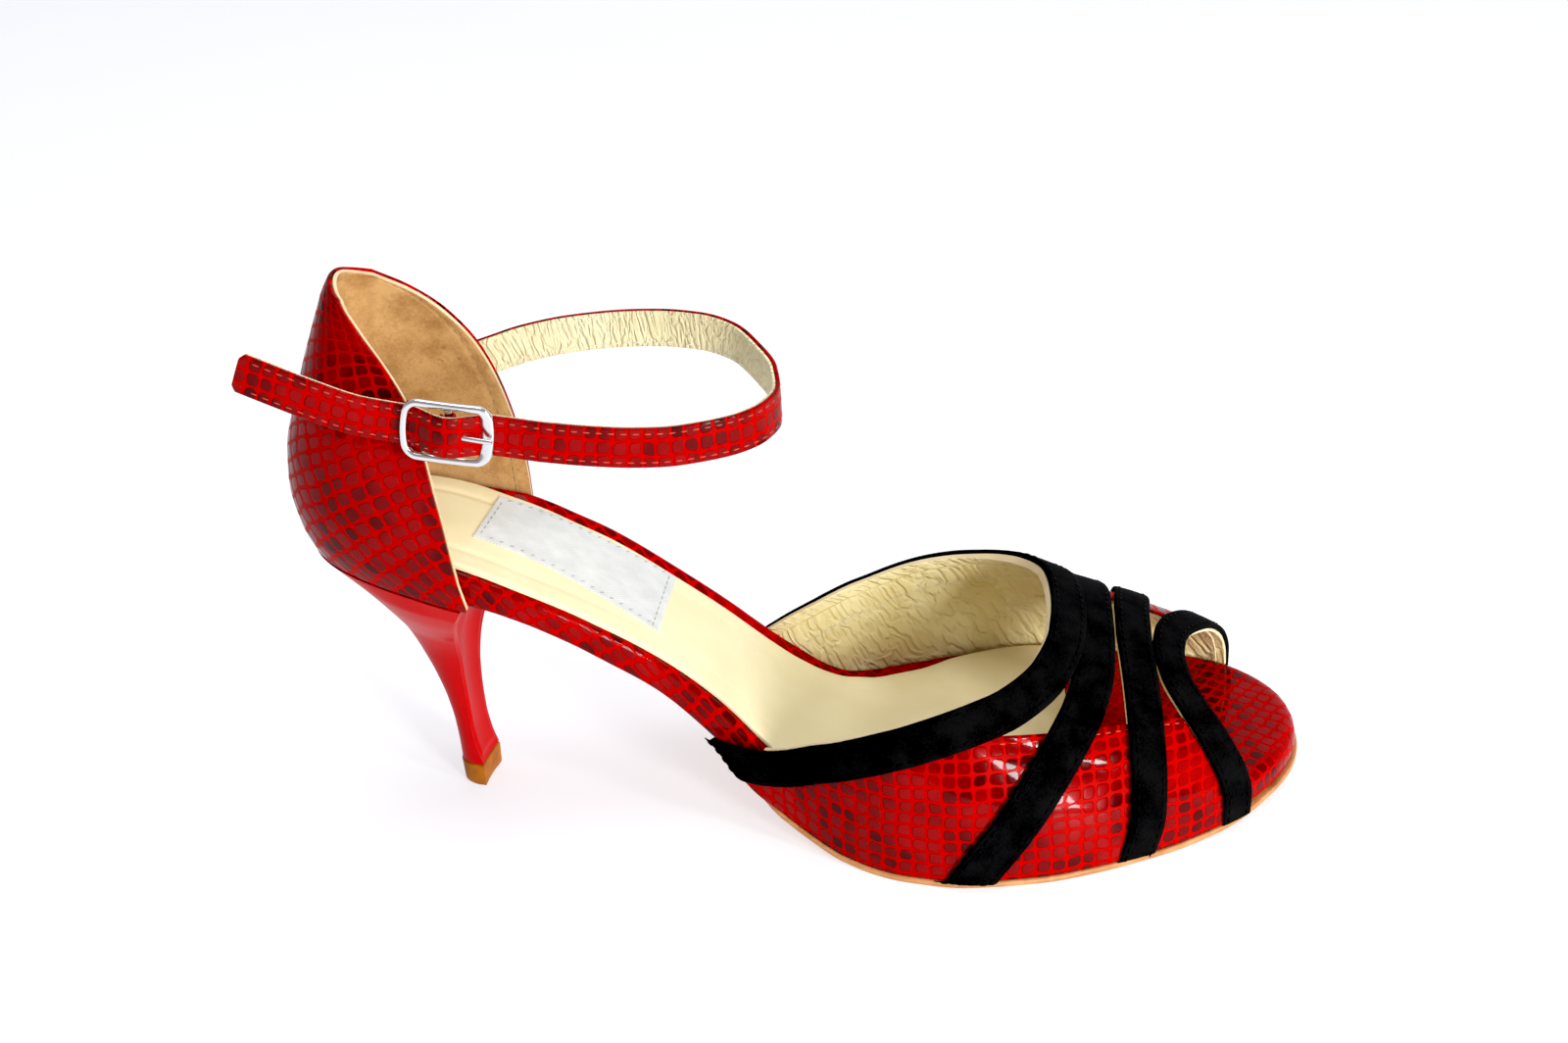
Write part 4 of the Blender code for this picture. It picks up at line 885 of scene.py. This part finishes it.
def sockHeight(x, inset):
    # foot side of the padded sock, with the pressed channel that follows its edge
    base = insoleTop(x) + last["gap"] + last["sockPly"]
    edge = np.sqrt(np.clip(1 - ((sock["edge"] - np.minimum(inset, sock["edge"])) / sock["edge"]) ** 2, 0, 1))
    fade = soft(x, 0.060, 0.080, 1.0, 0.25)
    groove = np.exp(-((inset - sock["channel"]) / sock["channelWidth"]) ** 2) * fade
    return base - sock["edge"] * (1 - edge) - sock["channelDepth"] * groove


def makeSock():
    end = float(stationAngle(insole["sockEnd"]))
    angles = np.linspace(0.0, end, 260)
    rim = np.array((0.0, 0.004, 0.01, 0.018, 0.03))
    shares = np.concatenate([rim, np.linspace(0.05, 0.95, 72), (1 - rim)[::-1]])
    insets = [column(sock[side], 1)(stationX(angles)) * mm for side in ("outer", "inner")]
    insets[0] += (insets[1] - insets[0]) * soft(angles, 0.0, 0.5, 0.5, 0.0)
    insets[1][0] = insets[0][0]
    left = offsetEdge(angles, -insets[0])
    right = offsetEdge(-angles, -insets[1])
    flat = left[:, None] + (right - left)[:, None] * shares[None, :, None]
    width = np.linalg.norm(right - left, axis=1)[:, None]
    inset = np.minimum(shares, 1 - shares)[None] * width
    ends = np.linalg.norm(flat - left[0], axis=2) * 0.96
    inset = np.minimum(inset, ends)
    x = flat[..., 0]
    top = np.concatenate([flat, sockHeight(x, inset)[..., None]], -1)
    under = np.concatenate([flat, (insoleTop(x) + last["gap"] * 0.5)[..., None]], -1)
    slabPiece("sock_padded", top, under, "insole_sock", ("cream",), flat, 0.00002)


def makeLabel():
    corners = np.array(label["corners"]) * mm
    us, vs = tidyRows(60, 0.006), tidyRows(36, 0.01)
    rows = []
    for v in vs:
        left = corners[0] * (1 - v) + corners[3] * v
        right = corners[1] * (1 - v) + corners[2] * v
        rows.append([left * (1 - u) + right * u for u in us])
    flat = np.array(rows)
    z = sockHeight(flat[..., 0], np.full(flat.shape[:2], 0.02))
    wave = 0.00008 * rowNoise(flat, 260.0, 5)
    top = np.concatenate([flat, (z + label["lift"] + label["ply"] + wave)[..., None]], -1)
    under = np.concatenate([flat, (z - 0.0004)[..., None]], -1)
    slabPiece("blank_label", top, under, None, ("label",), flat - corners[0], 0.00008)
    inset = [corner + np.sign(corners.mean(0) - corner) * label["border"] for corner in corners]
    lines = []
    for a, b in zip(inset, inset[1:] + inset[:1]):
        t = np.linspace(0, 1, 60)[:, None]
        xy = a * (1 - t) + b * t
        z = sockHeight(xy[:, 0], np.full(60, 0.02)) + label["lift"] + label["ply"] + 0.00008
        lines.append((np.concatenate([xy, z[:, None]], 1), np.tile((0.0, 0.0, 1.0), (60, 1))))
    addStitches("label_stitches", lines, "greyThread", stitch["label"])


# upper
def ringLoop(half, low, high, r, middle=7):
    # closed outline of a strap's section: (sideways, outward)
    loop = []
    corners = ((half - r, high - r), (-half + r, high - r), (-half + r, low + r), (half - r, low + r))
    for quarter, (cx, cy) in enumerate(corners):
        turns = np.radians(range(90 * quarter, 90 * quarter + 91, 30))
        loop += [(cx + r * math.cos(turn), cy + r * math.sin(turn)) for turn in turns]
        if quarter in (0, 2):
            side, level = (1, high) if quarter == 0 else (-1, low)
            loop += [(side * s, level) for s in np.linspace(half - r, -half + r, middle + 2)[1:-1]]
    return loop


def collarLift(x, degrees):
    # the collar lies over the second band where both cross the ridge
    return soft(degrees, 42, 62) * soft(degrees, 140, 118)


def makeBand(key):
    spec = bands[key]
    count, low, high = spec["rings"], suedePly["from"], suedePly["to"]
    x, degrees, sideways, length = pathAt(paths[key], count)
    u = np.linspace(0, length, count)
    lift = collarLift(x, degrees) * spec["lift"]
    skive = soft(np.minimum(u, length - u), 0.0, suedePly["skive"], suedePly["skived"], 1.0)

    def sweep(loop, heights, part):
        rings, uvs = [], []
        for s, h in loop:
            px, pd = beside(x[part], degrees[part], sideways[part] * s)
            rings.append(upperPoint(px, pd, heights(s, h)[part]))
            uvs.append(np.stack([u[part], np.full(len(px), s)], -1))
        return np.stack(rings, 1), np.stack(uvs, 1)

    def outside(s, h):
        crown = suedePly["crown"] * (1 - (2 * s / spec["width"]) ** 2) if h > low + suedePly["round"] else 0.0
        return (h + crown) * skive + lift

    rings, uvs = sweep(ringLoop(spec["width"] / 2, low, high, suedePly["round"]), outside, slice(None))
    ringsPiece(spec["node"] + "_suede", rings, spec["node"], "suede", uvs)
    lines = []
    for side in (-1, 1):
        px, pd = beside(x, degrees, sideways * (side * (spec["width"] / 2 - suedePly["stitchInset"])))
        points, _, _, normal = lastFrame(px, pd)
        lines.append((points + normal * (high * skive + 0.00013 + lift)[:, None], normal))
    addStitches(spec["node"] + "_stitches", lines, "blackThread", stitch["band"])
    backing = ringLoop(spec["width"] / 2 - 0.0003, -0.0007, low - 0.00005, 0.0003)
    part = slice(int(count * 0.07), int(count * 0.95))
    rings, uvs = sweep(backing, lambda s, h: h + lift, part)
    ringsPiece(spec["node"] + "_backing", rings, None, "lining", uvs[..., ::-1])


def girthEdge(key, share):
    # x of a line along a band as a function of the girth angle
    x, degrees, sideways, _ = pathAt(paths[key], 90)
    px, pd = beside(x, degrees, sideways * (share * bands[key]["width"] / 2))
    order = np.argsort(pd)
    return pd[order], px[order]


def edgeAt(edge, degrees):
    return np.interp(degrees, edge[0], edge[1])


def panelGrid(side, rear, front, rows, columns):
    vs, us = tidyRows(rows), tidyRows(columns)
    u, v = np.meshgrid(us, vs)
    degrees = np.full(u.shape, 20.0 if side < 0 else 150.0)
    for _ in range(12):
        low, high = edgeAt(rear, degrees), edgeAt(front, degrees)
        x = low + (high - low) * u
        if side < 0:
            degrees = footTurn(x) + v * (panelTop(x / last["length"]) - footTurn(x))
        else:
            degrees = 180 - footTurn(x) - v * (180 - footTurn(x) - panel["innerTop"])
    return x, degrees


def unrolled(x, degrees, turnDegrees=0.0):
    # a panel laid flat: lengths along the foot line and up round the girth
    foot = 0.0 if degrees.mean() < 90 else 180.0
    xs = np.linspace(0.085, 0.217, 260)
    run = runAlong(lastPoint(xs, np.full(260, foot)))
    steps = [lastPoint(x, foot + (degrees - foot) * t) for t in np.linspace(0, 1, 17)]
    up = sum(np.linalg.norm(b - a, axis=-1) for a, b in zip(steps, steps[1:]))
    up = np.where((degrees < 0) | (degrees > 180), -up, up)
    return turned(np.stack([np.interp(x, xs, run), up], -1), turnDegrees)


def makePanel(name, side):
    rear, front = girthEdge("collar", -panel["edgeAt"]), girthEdge("fourth", panel["edgeAt"])
    x, degrees = panelGrid(side, rear, front, 60, 110)
    top, skin = upperPoint(x, degrees, 0.0), upperPoint(x, degrees, -panel["skin"])
    slabPiece(name + "_leather", top, skin, "vamp", ("snake",), unrolled(x, degrees), 0.00015)
    flat = unrolled(x, degrees, -35.0)
    creases = 0.00022 * rowNoise(flat * (1.0, 0.35), 1500.0, 3) + 0.00018 * rowNoise(flat, 520.0, 8)
    inside = upperPoint(x, degrees, -panel["skin"] - 0.00005)
    under = upperPoint(x, degrees, np.minimum(creases - panel["wall"], -panel["leastWall"]))
    slabPiece(name + "_lining", inside, under, None, ("lining", "rawEdge"), flat, 0.0001)


def makeCollarLining():
    # lining under the collar on both sides, with the stitch row below the topline
    x, degrees, sideways, _ = pathAt(paths["collar"], 220)
    x, degrees, sideways = x[14:-8], degrees[14:-8], sideways[14:-8]
    shares = tidyRows(14, 0.02) * 2 - 1
    rowsTop, rowsLow = [], []
    for s in shares:
        px, pd = beside(x, degrees, sideways * (s * (bands["collar"]["width"] / 2 - 0.0001)))
        lift = collarLift(px, pd) * bands["collar"]["lift"]
        points, _, _, normal = lastFrame(px, pd)
        folds = 0.00006 * rowNoise(points, 1300.0, 4)
        rowsTop.append(points + normal * (0.00012 + lift)[:, None])
        rowsLow.append(points + normal * (-0.00105 + folds)[:, None])
    top, low = np.stack(rowsTop), np.stack(rowsLow)
    slabPiece("collar_lining", top, low, None, ("lining", "rawEdge"), surfaceUv(top), 0.0001)
    lines = []
    for s, depth in ((-0.72, 0.00112), (0.9, 0.00175)):
        px, pd = beside(x, degrees, sideways * (s * bands["collar"]["width"] / 2))
        points, _, _, normal = lastFrame(px, pd)
        lines.append((points - normal * depth, -normal))
    addStitches("collar_lining_stitches", lines, "creamThread", stitch["band"])


def panelStitches():
    x = np.linspace(0.150, 0.194, 80)
    degrees = panelTop(x / last["length"]) - 2.2
    points, _, _, normal = lastFrame(x, degrees)
    addStitches("panel_stitches", [(points + normal * 0.00006, normal)], "redThread", stitch["panel"])


# counter
def counterPoint(share, level):
    def ring(at):
        sizes = (last["length"],) * 3 + (last["ball"],)
        values = [curve(at) * size for curve, size in zip(counterCurves, sizes)]
        return seatToShoe(*seatCurve(share, *values))

    level = level * (1 - counter["peak"] * np.abs(share) ** 3 * level ** 14)  # the peak is round
    angle = float(stationAngle(counter["front"]))
    base = offsetEdge(-share * angle, np.full(np.shape(share), counter["fit"] + counter["wall"]))
    point = ring(level) + (base - ring(0)) * ((1 - level) ** 3)[..., None]
    low = insoleBottom(point[..., 0])
    return np.concatenate([point, (low + (last["heel"] + counter["height"] - low) * level)[..., None]], -1)


def seatCurve(share, back, front, rounding, half):
    x = back + (front - back) * (1 - np.cos(np.abs(share) * math.pi / 2))
    t = np.minimum((x - back) / rounding, 1.0)
    return x, np.sign(share) * half * np.sqrt(np.maximum(1 - (1 - t) ** 2, 0.0))


counterCurves = [column(counterLevels, i) for i in (1, 2, 3, 4)]


def gridNormals(points):
    along = np.gradient(points, axis=1)
    around = np.gradient(points, axis=0)
    return unit(np.cross(along, around))


def makeCounter():
    share, level = np.meshgrid(tidyRows(130, 0.006) * 2 - 1, tidyRows(70, 0.006))
    skin = counterPoint(share, level)
    normal = gridNormals(skin)
    if (normal * (skin - skin.mean((0, 1)))).sum() < 0:
        normal = -normal
    uv = surfaceUv(skin, tile["counterTurn"]) * tile["counterScale"]
    under = skin - normal * counter["skin"]
    slabPiece("counter_leather", skin, under, "counter", ("snake",), uv, 0.0002)
    inside = skin - normal * (counter["skin"] + 0.00005)
    lining = skin - normal * (counter["wall"] - 0.00005)
    near = np.minimum(1 - np.abs(share), 1.2 * (1 - level)) * 0.045
    groove = 0.00028 * np.exp(-((near - 0.0022) / 0.0005) ** 2)
    lining = lining + normal * groove[..., None] + normal * (0.00008 * rowNoise(skin, 700.0, 2))[..., None]
    slabPiece("counter_lining", inside, lining, None, ("tan", "rawEdge"), uv, 0.00012)
    lines = []
    level = np.linspace(0.03, 0.97, 120)
    for sign in (1, -1):
        points, rise = [counterPoint(np.full(120, sign * 0.955), at) for at in (level, level + 0.01)]
        beyond = counterPoint(np.full(120, sign * 0.90), level)
        out = unit(np.cross(points - beyond, rise - points))
        out = np.where((out[:, 1:2] * points[:, 1:2]) < 0, -out, out)
        lines.append((points - out * (counter["wall"] - 0.0001), -out))
    addStitches("counter_stitches", lines, "tanThread", stitch["counter"])


# heel
heelCurves = [column(heelLevels, i) for i in (1, 2, 3, 4)]


def heelRing(level, height, seatBlend, count=64, breast=32):
    share = np.linspace(-1, 1, count)
    back, front, half, hollow = [float(curve(level)) for curve in heelCurves]
    rear, ahead = back * last["length"], front * last["length"]
    x, y = seatCurve(share, rear, ahead, (ahead - rear) * heel["round"], half * last["ball"])
    ring = seatToShoe(x, y)
    if seatBlend > 0:
        angle = float(stationAngle(heel["front"]))
        seat = offsetEdge(-share * angle, np.full(count, counter["fit"] + counter["wall"]))
        ring = ring * (1 - seatBlend) + seat * seatBlend
        hollow = hollow * (1 - seatBlend) + seatBlend
    inner, outer = ring[-1], ring[0]
    forward = unit(np.array((outer[1] - inner[1], inner[0] - outer[0])))
    span = np.linspace(0, 1, breast + 2)[1:-1]
    dip = hollow * heel["hollow"] * np.sin(math.pi * span)
    sunk = soft(span, 0.06, 0.11) * soft(span, 0.94, 0.89) * soft(level, 0.02, 0.05) * soft(level, 0.90, 0.84)
    line = inner + (outer - inner) * span[:, None] + forward * (dip - sunk * heel["breast"])[:, None]
    flat = np.concatenate([ring, line])
    return np.concatenate([flat, height(flat[:, 0])[:, None]], 1)


def makeHeel():
    low = heel["tip"] + last["gap"]
    top = heelLevels[-1][0]
    rings = []
    for share in np.linspace(0, 1, heel["rings"]):
        def height(x):
            return low + (insoleBottom(x) - last["gap"] - low) * share

        rings.append(heelRing(min(share, top), height, max(share - top, 0.0) / (1 - top)))
    ringsPiece("heel_lacquer", rings, "heel", "lacquer")


def makeTip():
    ring = heelRing(0.0, lambda x: x * 0, 0.0)
    out = unit(ring - ring.mean(0))
    tall = heel["tip"]
    profile = ((0.0, -0.0003), (0.00035, 0.0), (0.0018, 0.00006))
    profile += ((tall - 0.0004, 0.0002), (tall - 0.0001, 0.0001), (tall, -0.0001))
    rings = [ring + out * grow + np.array((0, 0, z)) for z, grow in profile]
    ringsPiece("heel_tip_rubber", rings, "heel_tip", "tip")


# ankle strap and buckle
class Ribbon:
    def __init__(self):
        top = last["heel"] + counter["height"]
        points = np.array(strapPath) * (last["length"], last["ball"], top)
        reach = runAlong(points)
        self.length = reach[-1]
        self.curves = [Curve(reach, points[:, axis]) for axis in range(3)]
        places = np.linspace(self.length / 2, self.length, 600)
        self.buckle = places[np.argmin(np.abs(self.curves[0](places) - strap["buckleX"] * last["length"]))]

    def point(self, place):
        # before its start the strap runs straight on, behind the counter's edge
        place = np.asarray(place, float)
        start = np.array([curve(0.001) - curve(0.0) for curve in self.curves]) / 0.001
        return np.stack([curve(place) for curve in self.curves], -1) + start * np.minimum(place, 0.0)[..., None]

    def frame(self, place):
        place = np.asarray(place, float)
        along = unit(self.point(np.minimum(place + 0.001, self.length)) - self.point(place - 0.001))
        outward = unit(np.cross(np.array((0.0, 0.0, 1.0)), along))
        return self.point(place), along, outward, unit(np.cross(outward, along))


ribbon = Ribbon()


def strapWave(distance):
    half = buckle["length"] / 2 - buckle["wire"] / 2
    thick = strap["outer"] + strap["lining"]
    barTop = buckle["rise"] - buckle["drop"] + buckle["bar"] / 2
    over = barTop + buckle["clear"] + buckle["tab"] + last["gap"] + thick / 2
    beneath = buckle["rise"] - buckle["wire"] / 2 - last["gap"] - thick / 2
    return Curve((-2.1 * half, -half, 0.0, half, 2.1 * half), (0.0, beneath, over, beneath, 0.0))(distance)


def makeStrap():
    places = np.linspace(-strap["tuck"], ribbon.length, 430)
    point, _, outward, width = ribbon.frame(places)
    middle = point + outward * strapWave(places - ribbon.buckle)[:, None]
    taper = np.minimum(1.0, strap["taper"] + (ribbon.length - places) / (strap["width"] * 0.35))
    thick = strap["outer"] + strap["lining"]
    seam = thick / 2 - strap["outer"]
    parts = (
        ("ankle_strap_leather", "ankle_strap", seam + 0.00002, thick / 2, strap["round"], 0.0, "snake"),
        ("ankle_strap_lining", None, -thick / 2, seam - 0.00002, 0.0002, 0.0002, "strapLining"),
    )
    for name, node, low, high, r, inset, key in parts:
        rings, uvs = [], []
        for s, h in ringLoop(strap["width"] / 2 - inset, low, high, r, 9):
            raised = node and h > high - r - 1e-6
            puff = strap["puff"] * math.cos(math.pi * s / strap["width"]) if raised else 0.0
            rings.append(middle + width * (s * taper)[:, None] + outward * (h + puff))
            aside = np.full(len(places), s)
            uvs.append(np.stack((aside + strap["tileShift"], places) if node else (places, aside), -1))
        ringsPiece(name, np.stack(rings, 1), node, key, np.stack(uvs, 1))
    inside = places < ribbon.length - 0.003
    for name, side, key in (("strap_stitches", 1, "redThread"), ("strap_lining_stitches", -1, "creamThread")):
        lines = []
        for s in (-1, 1):
            shift = s * (strap["width"] / 2 - strap["stitchInset"]) * taper
            points = middle + width * shift[:, None] + outward * (side * (thick / 2 + 0.00003))
            lines.append((points[inside], (outward * side)[inside]))
        addStitches(name, lines, key, stitch["strap"])


def bucklePoint(along, width, outward):
    point, a, o, w = ribbon.frame(ribbon.buckle)
    return point + a * along + w * width + o * (outward + buckle["rise"])


def tubeRings(points, section, closed=False):
    # rings along a path; section gives (side, up) offsets at a point's number
    n = len(points)
    outward = ribbon.frame(ribbon.buckle)[2]
    rings = []
    for i in range(n):
        ahead = points[(i + 1) % n if closed else min(i + 1, n - 1)]
        behind = points[(i - 1) % n if closed else max(i - 1, 0)]
        tangent = unit(ahead - behind)
        side = unit(np.cross(tangent, outward))
        up = np.cross(side, tangent)
        rings.append([points[i] + side * s + up * h for s, h in section(i)])
    return np.array(rings)


circle = [(math.cos(math.radians(30 * k)), math.sin(math.radians(30 * k))) for k in range(12)]


def makeFrame():
    r = buckle["corner"]
    halfL, halfH = (buckle["length"] - buckle["wire"]) / 2, (buckle["height"] - buckle["wire"]) / 2
    outline = []
    for quarter in range(4):
        sx, sy = (1 if quarter in (0, 3) else -1), (1 if quarter < 2 else -1)
        for share in np.linspace(0, 1, 12):
            turn = (quarter + share) * math.pi / 2
            outline.append(((halfL - r) * sx + r * math.cos(turn), (halfH - r) * sy + r * math.sin(turn)))
        if quarter % 2 == 0:
            outline += [((halfL - r) * sx * (1 - 2 * t), halfH * sy) for t in np.linspace(0, 1, 14)[1:-1]]
        else:
            outline += [(halfL * sx, (halfH - r) * sy * (1 - 2 * t)) for t in np.linspace(0, 1, 12)[1:-1]]
    outline = np.array(outline)
    outline[:, 0] *= 1 - buckle["bulge"] / halfL * (outline[:, 1] / halfH) ** 2
    bow = buckle["bow"] * (outline[:, 0] / halfL) ** 2
    points = np.array([bucklePoint(a, w, -b) for (a, w), b in zip(outline, bow)])

    def section(i):
        # broader at the end where the strap comes in
        broad = float(soft(-outline[i][0], halfL * 0.62, halfL)) * buckle["broad"]
        half, tall = buckle["wire"] / 2, buckle["wire"] * 0.46
        loop = []
        for c, s in circle:
            side = math.copysign(abs(c) ** 0.75, c) * half
            up = math.copysign(abs(s) ** 0.75, s) * tall
            loop.append((side - (broad if side < 0 else 0.0), up - (0.35 * broad if side < 0 else 0.0)))
        return loop

    rings = tubeRings(points, section, True)
    tail = (len(points) - 1) * 12
    faces = gridFaces(len(points), 12, wrap=True)
    faces += [(tail + i, tail + (i + 1) % 12, (i + 1) % 12, i) for i in range(12)]
    addPiece("buckle_frame_nickel", rings.reshape(-1, 3), faces, "buckle_frame", ("nickel",))


def makeBar():
    reach = (buckle["height"] - buckle["wire"]) / 2
    points = np.array([bucklePoint(0.0, w, -buckle["drop"]) for w in np.linspace(-reach, reach, 12)])
    loop = [(c * buckle["bar"] / 2, s * buckle["bar"] / 2) for c, s in circle]
    ringsPiece("buckle_bar_nickel", tubeRings(points, lambda i: loop), None, "nickel")


def makeProng():
    radius = buckle["bar"] / 2 + buckle["clear"] + buckle["prong"] / 2
    prong = []
    for turn in np.radians(np.linspace(-180, 80, 24)):
        prong.append((radius * math.cos(turn), -buckle["drop"] + radius * math.sin(turn)))
    rest = buckle["wire"] / 2 + last["gap"] + buckle["prong"] / 2
    end = -(buckle["length"] / 2 - 0.1 * buckle["wire"])
    for t in np.linspace(0.08, 1, 16):
        prong.append((end * t, buckle["hump"] + (rest - buckle["hump"]) * math.sin(t * math.pi / 2)))
    path = np.array([bucklePoint(a, 0.0, o) for a, o in prong])
    width = ribbon.frame(ribbon.buckle)[3]
    rings = []
    for i in range(len(path)):
        tangent = unit(path[min(i + 1, len(path) - 1)] - path[max(i - 1, 0)])
        up = unit(np.cross(width, tangent))
        size = buckle["prong"] * (1.0 if i < len(path) - 1 else 0.7)
        rings.append([path[i] + width * (c * size / 2) + up * (s * size * 0.42) for c, s in circle])
    ringsPiece("buckle_prong_nickel", rings, "buckle_prong", "nickel")


def counterEdge(side, height):
    low, high = 0.0, 1.0
    for _ in range(30):
        level = (low + high) / 2
        if counterPoint(np.array(float(side)), np.array(level))[2] < height:
            low = level
        else:
            high = level
    point = counterPoint(np.array(float(side)), np.array(level))
    shift = seatToShoe(0.0005, -side * counter["wall"] / 2) - seatToShoe(0.0, 0.0)
    return np.array((point[0] + shift[0], point[1] + shift[1], height))


def makeTab():
    bar = bucklePoint(0.0, 0.0, -buckle["drop"])
    _, along, outward, width = ribbon.frame(ribbon.buckle)
    radius = buckle["bar"] / 2 + buckle["clear"] + buckle["tab"] / 2
    half = buckle["tabWidth"] / 2
    turns = np.radians(np.linspace(-90, -350, 40))
    fold = [bar + along * (radius * math.cos(t)) + outward * (radius * math.sin(t)) for t in turns]
    starts = [counterEdge(-1, bar[2] + sign * half) for sign in (1, -1)]
    edges = []
    for share in np.linspace(0, 1, 16)[:-1]:
        ends = [(fold[0] + width * (sign * half)) * share for sign in (1, -1)]
        edges.append([start * (1 - share) + end for start, end in zip(starts, ends)])
    edges += [[point + width * half, point - width * half] for point in fold]
    middles = [(a + b) / 2 for a, b in edges]
    rings, uvs = [], []
    thick = buckle["tab"] / 2
    for i, (upper, lower) in enumerate(edges):
        tangent = unit(middles[min(i + 1, len(middles) - 1)] - middles[max(i - 1, 0)])
        side = unit(np.cross(tangent, width))
        ring, uv = [], []
        for s, h in ringLoop(half, -thick, thick, thick * 0.7, 5):
            t = (half - s) / (2 * half)
            ring.append(upper * (1 - t) + lower * t + side * h)
            uv.append((s, i * 0.0004))
        rings.append(ring)
        uvs.append(uv)
    ringsPiece("buckle_tab_leather", rings, "buckle_tab", "snake", uvs)


makeOutsole()
makeInsole()
makeSock()
makeLabel()
print("sole, insole and sock made")
for key in bands:
    makeBand(key)
makePanel("outer_panel", -1)
makePanel("inner_panel", 1)
makeCollarLining()
panelStitches()
print("vamp and bands made")
makeCounter()
makeHeel()
makeTip()
print("counter and heel made")
makeStrap()
makeFrame()
makeBar()
makeProng()
makeTab()
print("strap and buckle made")


# floor, light and camera
def makeFloor():
    # flat under and behind the shoe, then curving up into a backdrop
    g = Graph("paleFloor", Roughness=0.6, Specular_IOR_Level=0.25, Emission_Color=(0.95, 0.96, 1.0))
    haze = g.noise(g.place(), 6.0, 3.0)
    g.set(Base_Color=g.mix(haze, (0.47, 0.475, 0.49), (0.52, 0.525, 0.54)), Emission_Strength=0.62)
    bend, radius = 2.6, 0.8
    outline = [(-3.0, 0.0), (bend, 0.0)]
    for turn in np.linspace(0.1, math.pi / 2, 16):
        outline.append((bend + radius * math.sin(turn), radius - radius * math.cos(turn)))
    outline.append((3.4, 4.0))
    verts = [(x, y, z) for x in (-4.0, 4.0) for y, z in outline]
    count = len(outline)
    faces = [(i, i + 1, count + i + 1, count + i) for i in range(count - 1)]
    mesh = bpy.data.meshes.new("studio_floor")
    mesh.from_pydata(verts, [], faces)
    mesh.materials.append(g.material)
    mesh.shade_smooth()
    floor = bpy.data.objects.new("studio_floor", mesh)
    bpy.context.scene.collection.objects.link(floor)


def addLight(name, place, target, size, power):
    data = bpy.data.lights.new(name, "AREA")
    data.shape = "RECTANGLE"
    data.size, data.size_y = size
    data.energy = power
    lamp = bpy.data.objects.new(name, data)
    lamp.location = place
    lamp.rotation_euler = (Vector(target) - Vector(place)).to_track_quat("-Z", "Y").to_euler()
    bpy.context.scene.collection.objects.link(lamp)


def makeLights():
    world = bpy.data.worlds.new("softWhite")
    world.use_nodes = True
    world.node_tree.nodes["Background"].inputs["Color"].default_value = (0.97, 0.98, 1.0, 1.0)
    world.node_tree.nodes["Background"].inputs["Strength"].default_value = 0.36
    bpy.context.scene.world = world
    view = bpy.context.scene.view_settings
    view.view_transform = "Standard"
    view.use_curve_mapping = True
    view.curve_mapping.black_level = (0.009, 0.009, 0.009)  # the photograph's blacks are deep
    view.curve_mapping.update()
    addLight("topBox", (0.05, 0.10, 1.20), (0.0, 0.0, 0.05), (0.9, 0.7), 6.2)
    addLight("windowBox", (0.62, -0.78, 0.25), (0.04, 0.0, 0.03), (0.17, 0.36), 10.0)
    addLight("edgeBox", (0.72, -0.48, 0.58), (0.0, 0.0, 0.04), (0.10, 0.10), 2.0)


def makeCamera():
    azimuth, elevation, roll = math.radians(5.3), math.radians(26.95), math.radians(-3.52)
    target = Vector((0.1053, 0.00835, 0.0583)) + origin
    flat = math.cos(elevation)
    back = Vector((math.sin(azimuth) * flat, -math.cos(azimuth) * flat, math.sin(elevation)))
    right = Vector((math.cos(azimuth), math.sin(azimuth), 0.0))
    up = back.cross(right)
    right, up = right * math.cos(roll) + up * math.sin(roll), up * math.cos(roll) - right * math.sin(roll)
    data = bpy.data.cameras.new("camera")
    data.sensor_width = 36.0
    data.lens = 42.29
    camera = bpy.data.objects.new("camera", data)
    turn = Matrix((right, up, back)).transposed()
    camera.matrix_world = Matrix.Translation(target + back * 0.4062) @ turn.to_4x4()
    bpy.context.scene.collection.objects.link(camera)
    bpy.context.scene.camera = camera


makeFloor()
makeLights()
makeCamera()
print("floor, lights and camera made")
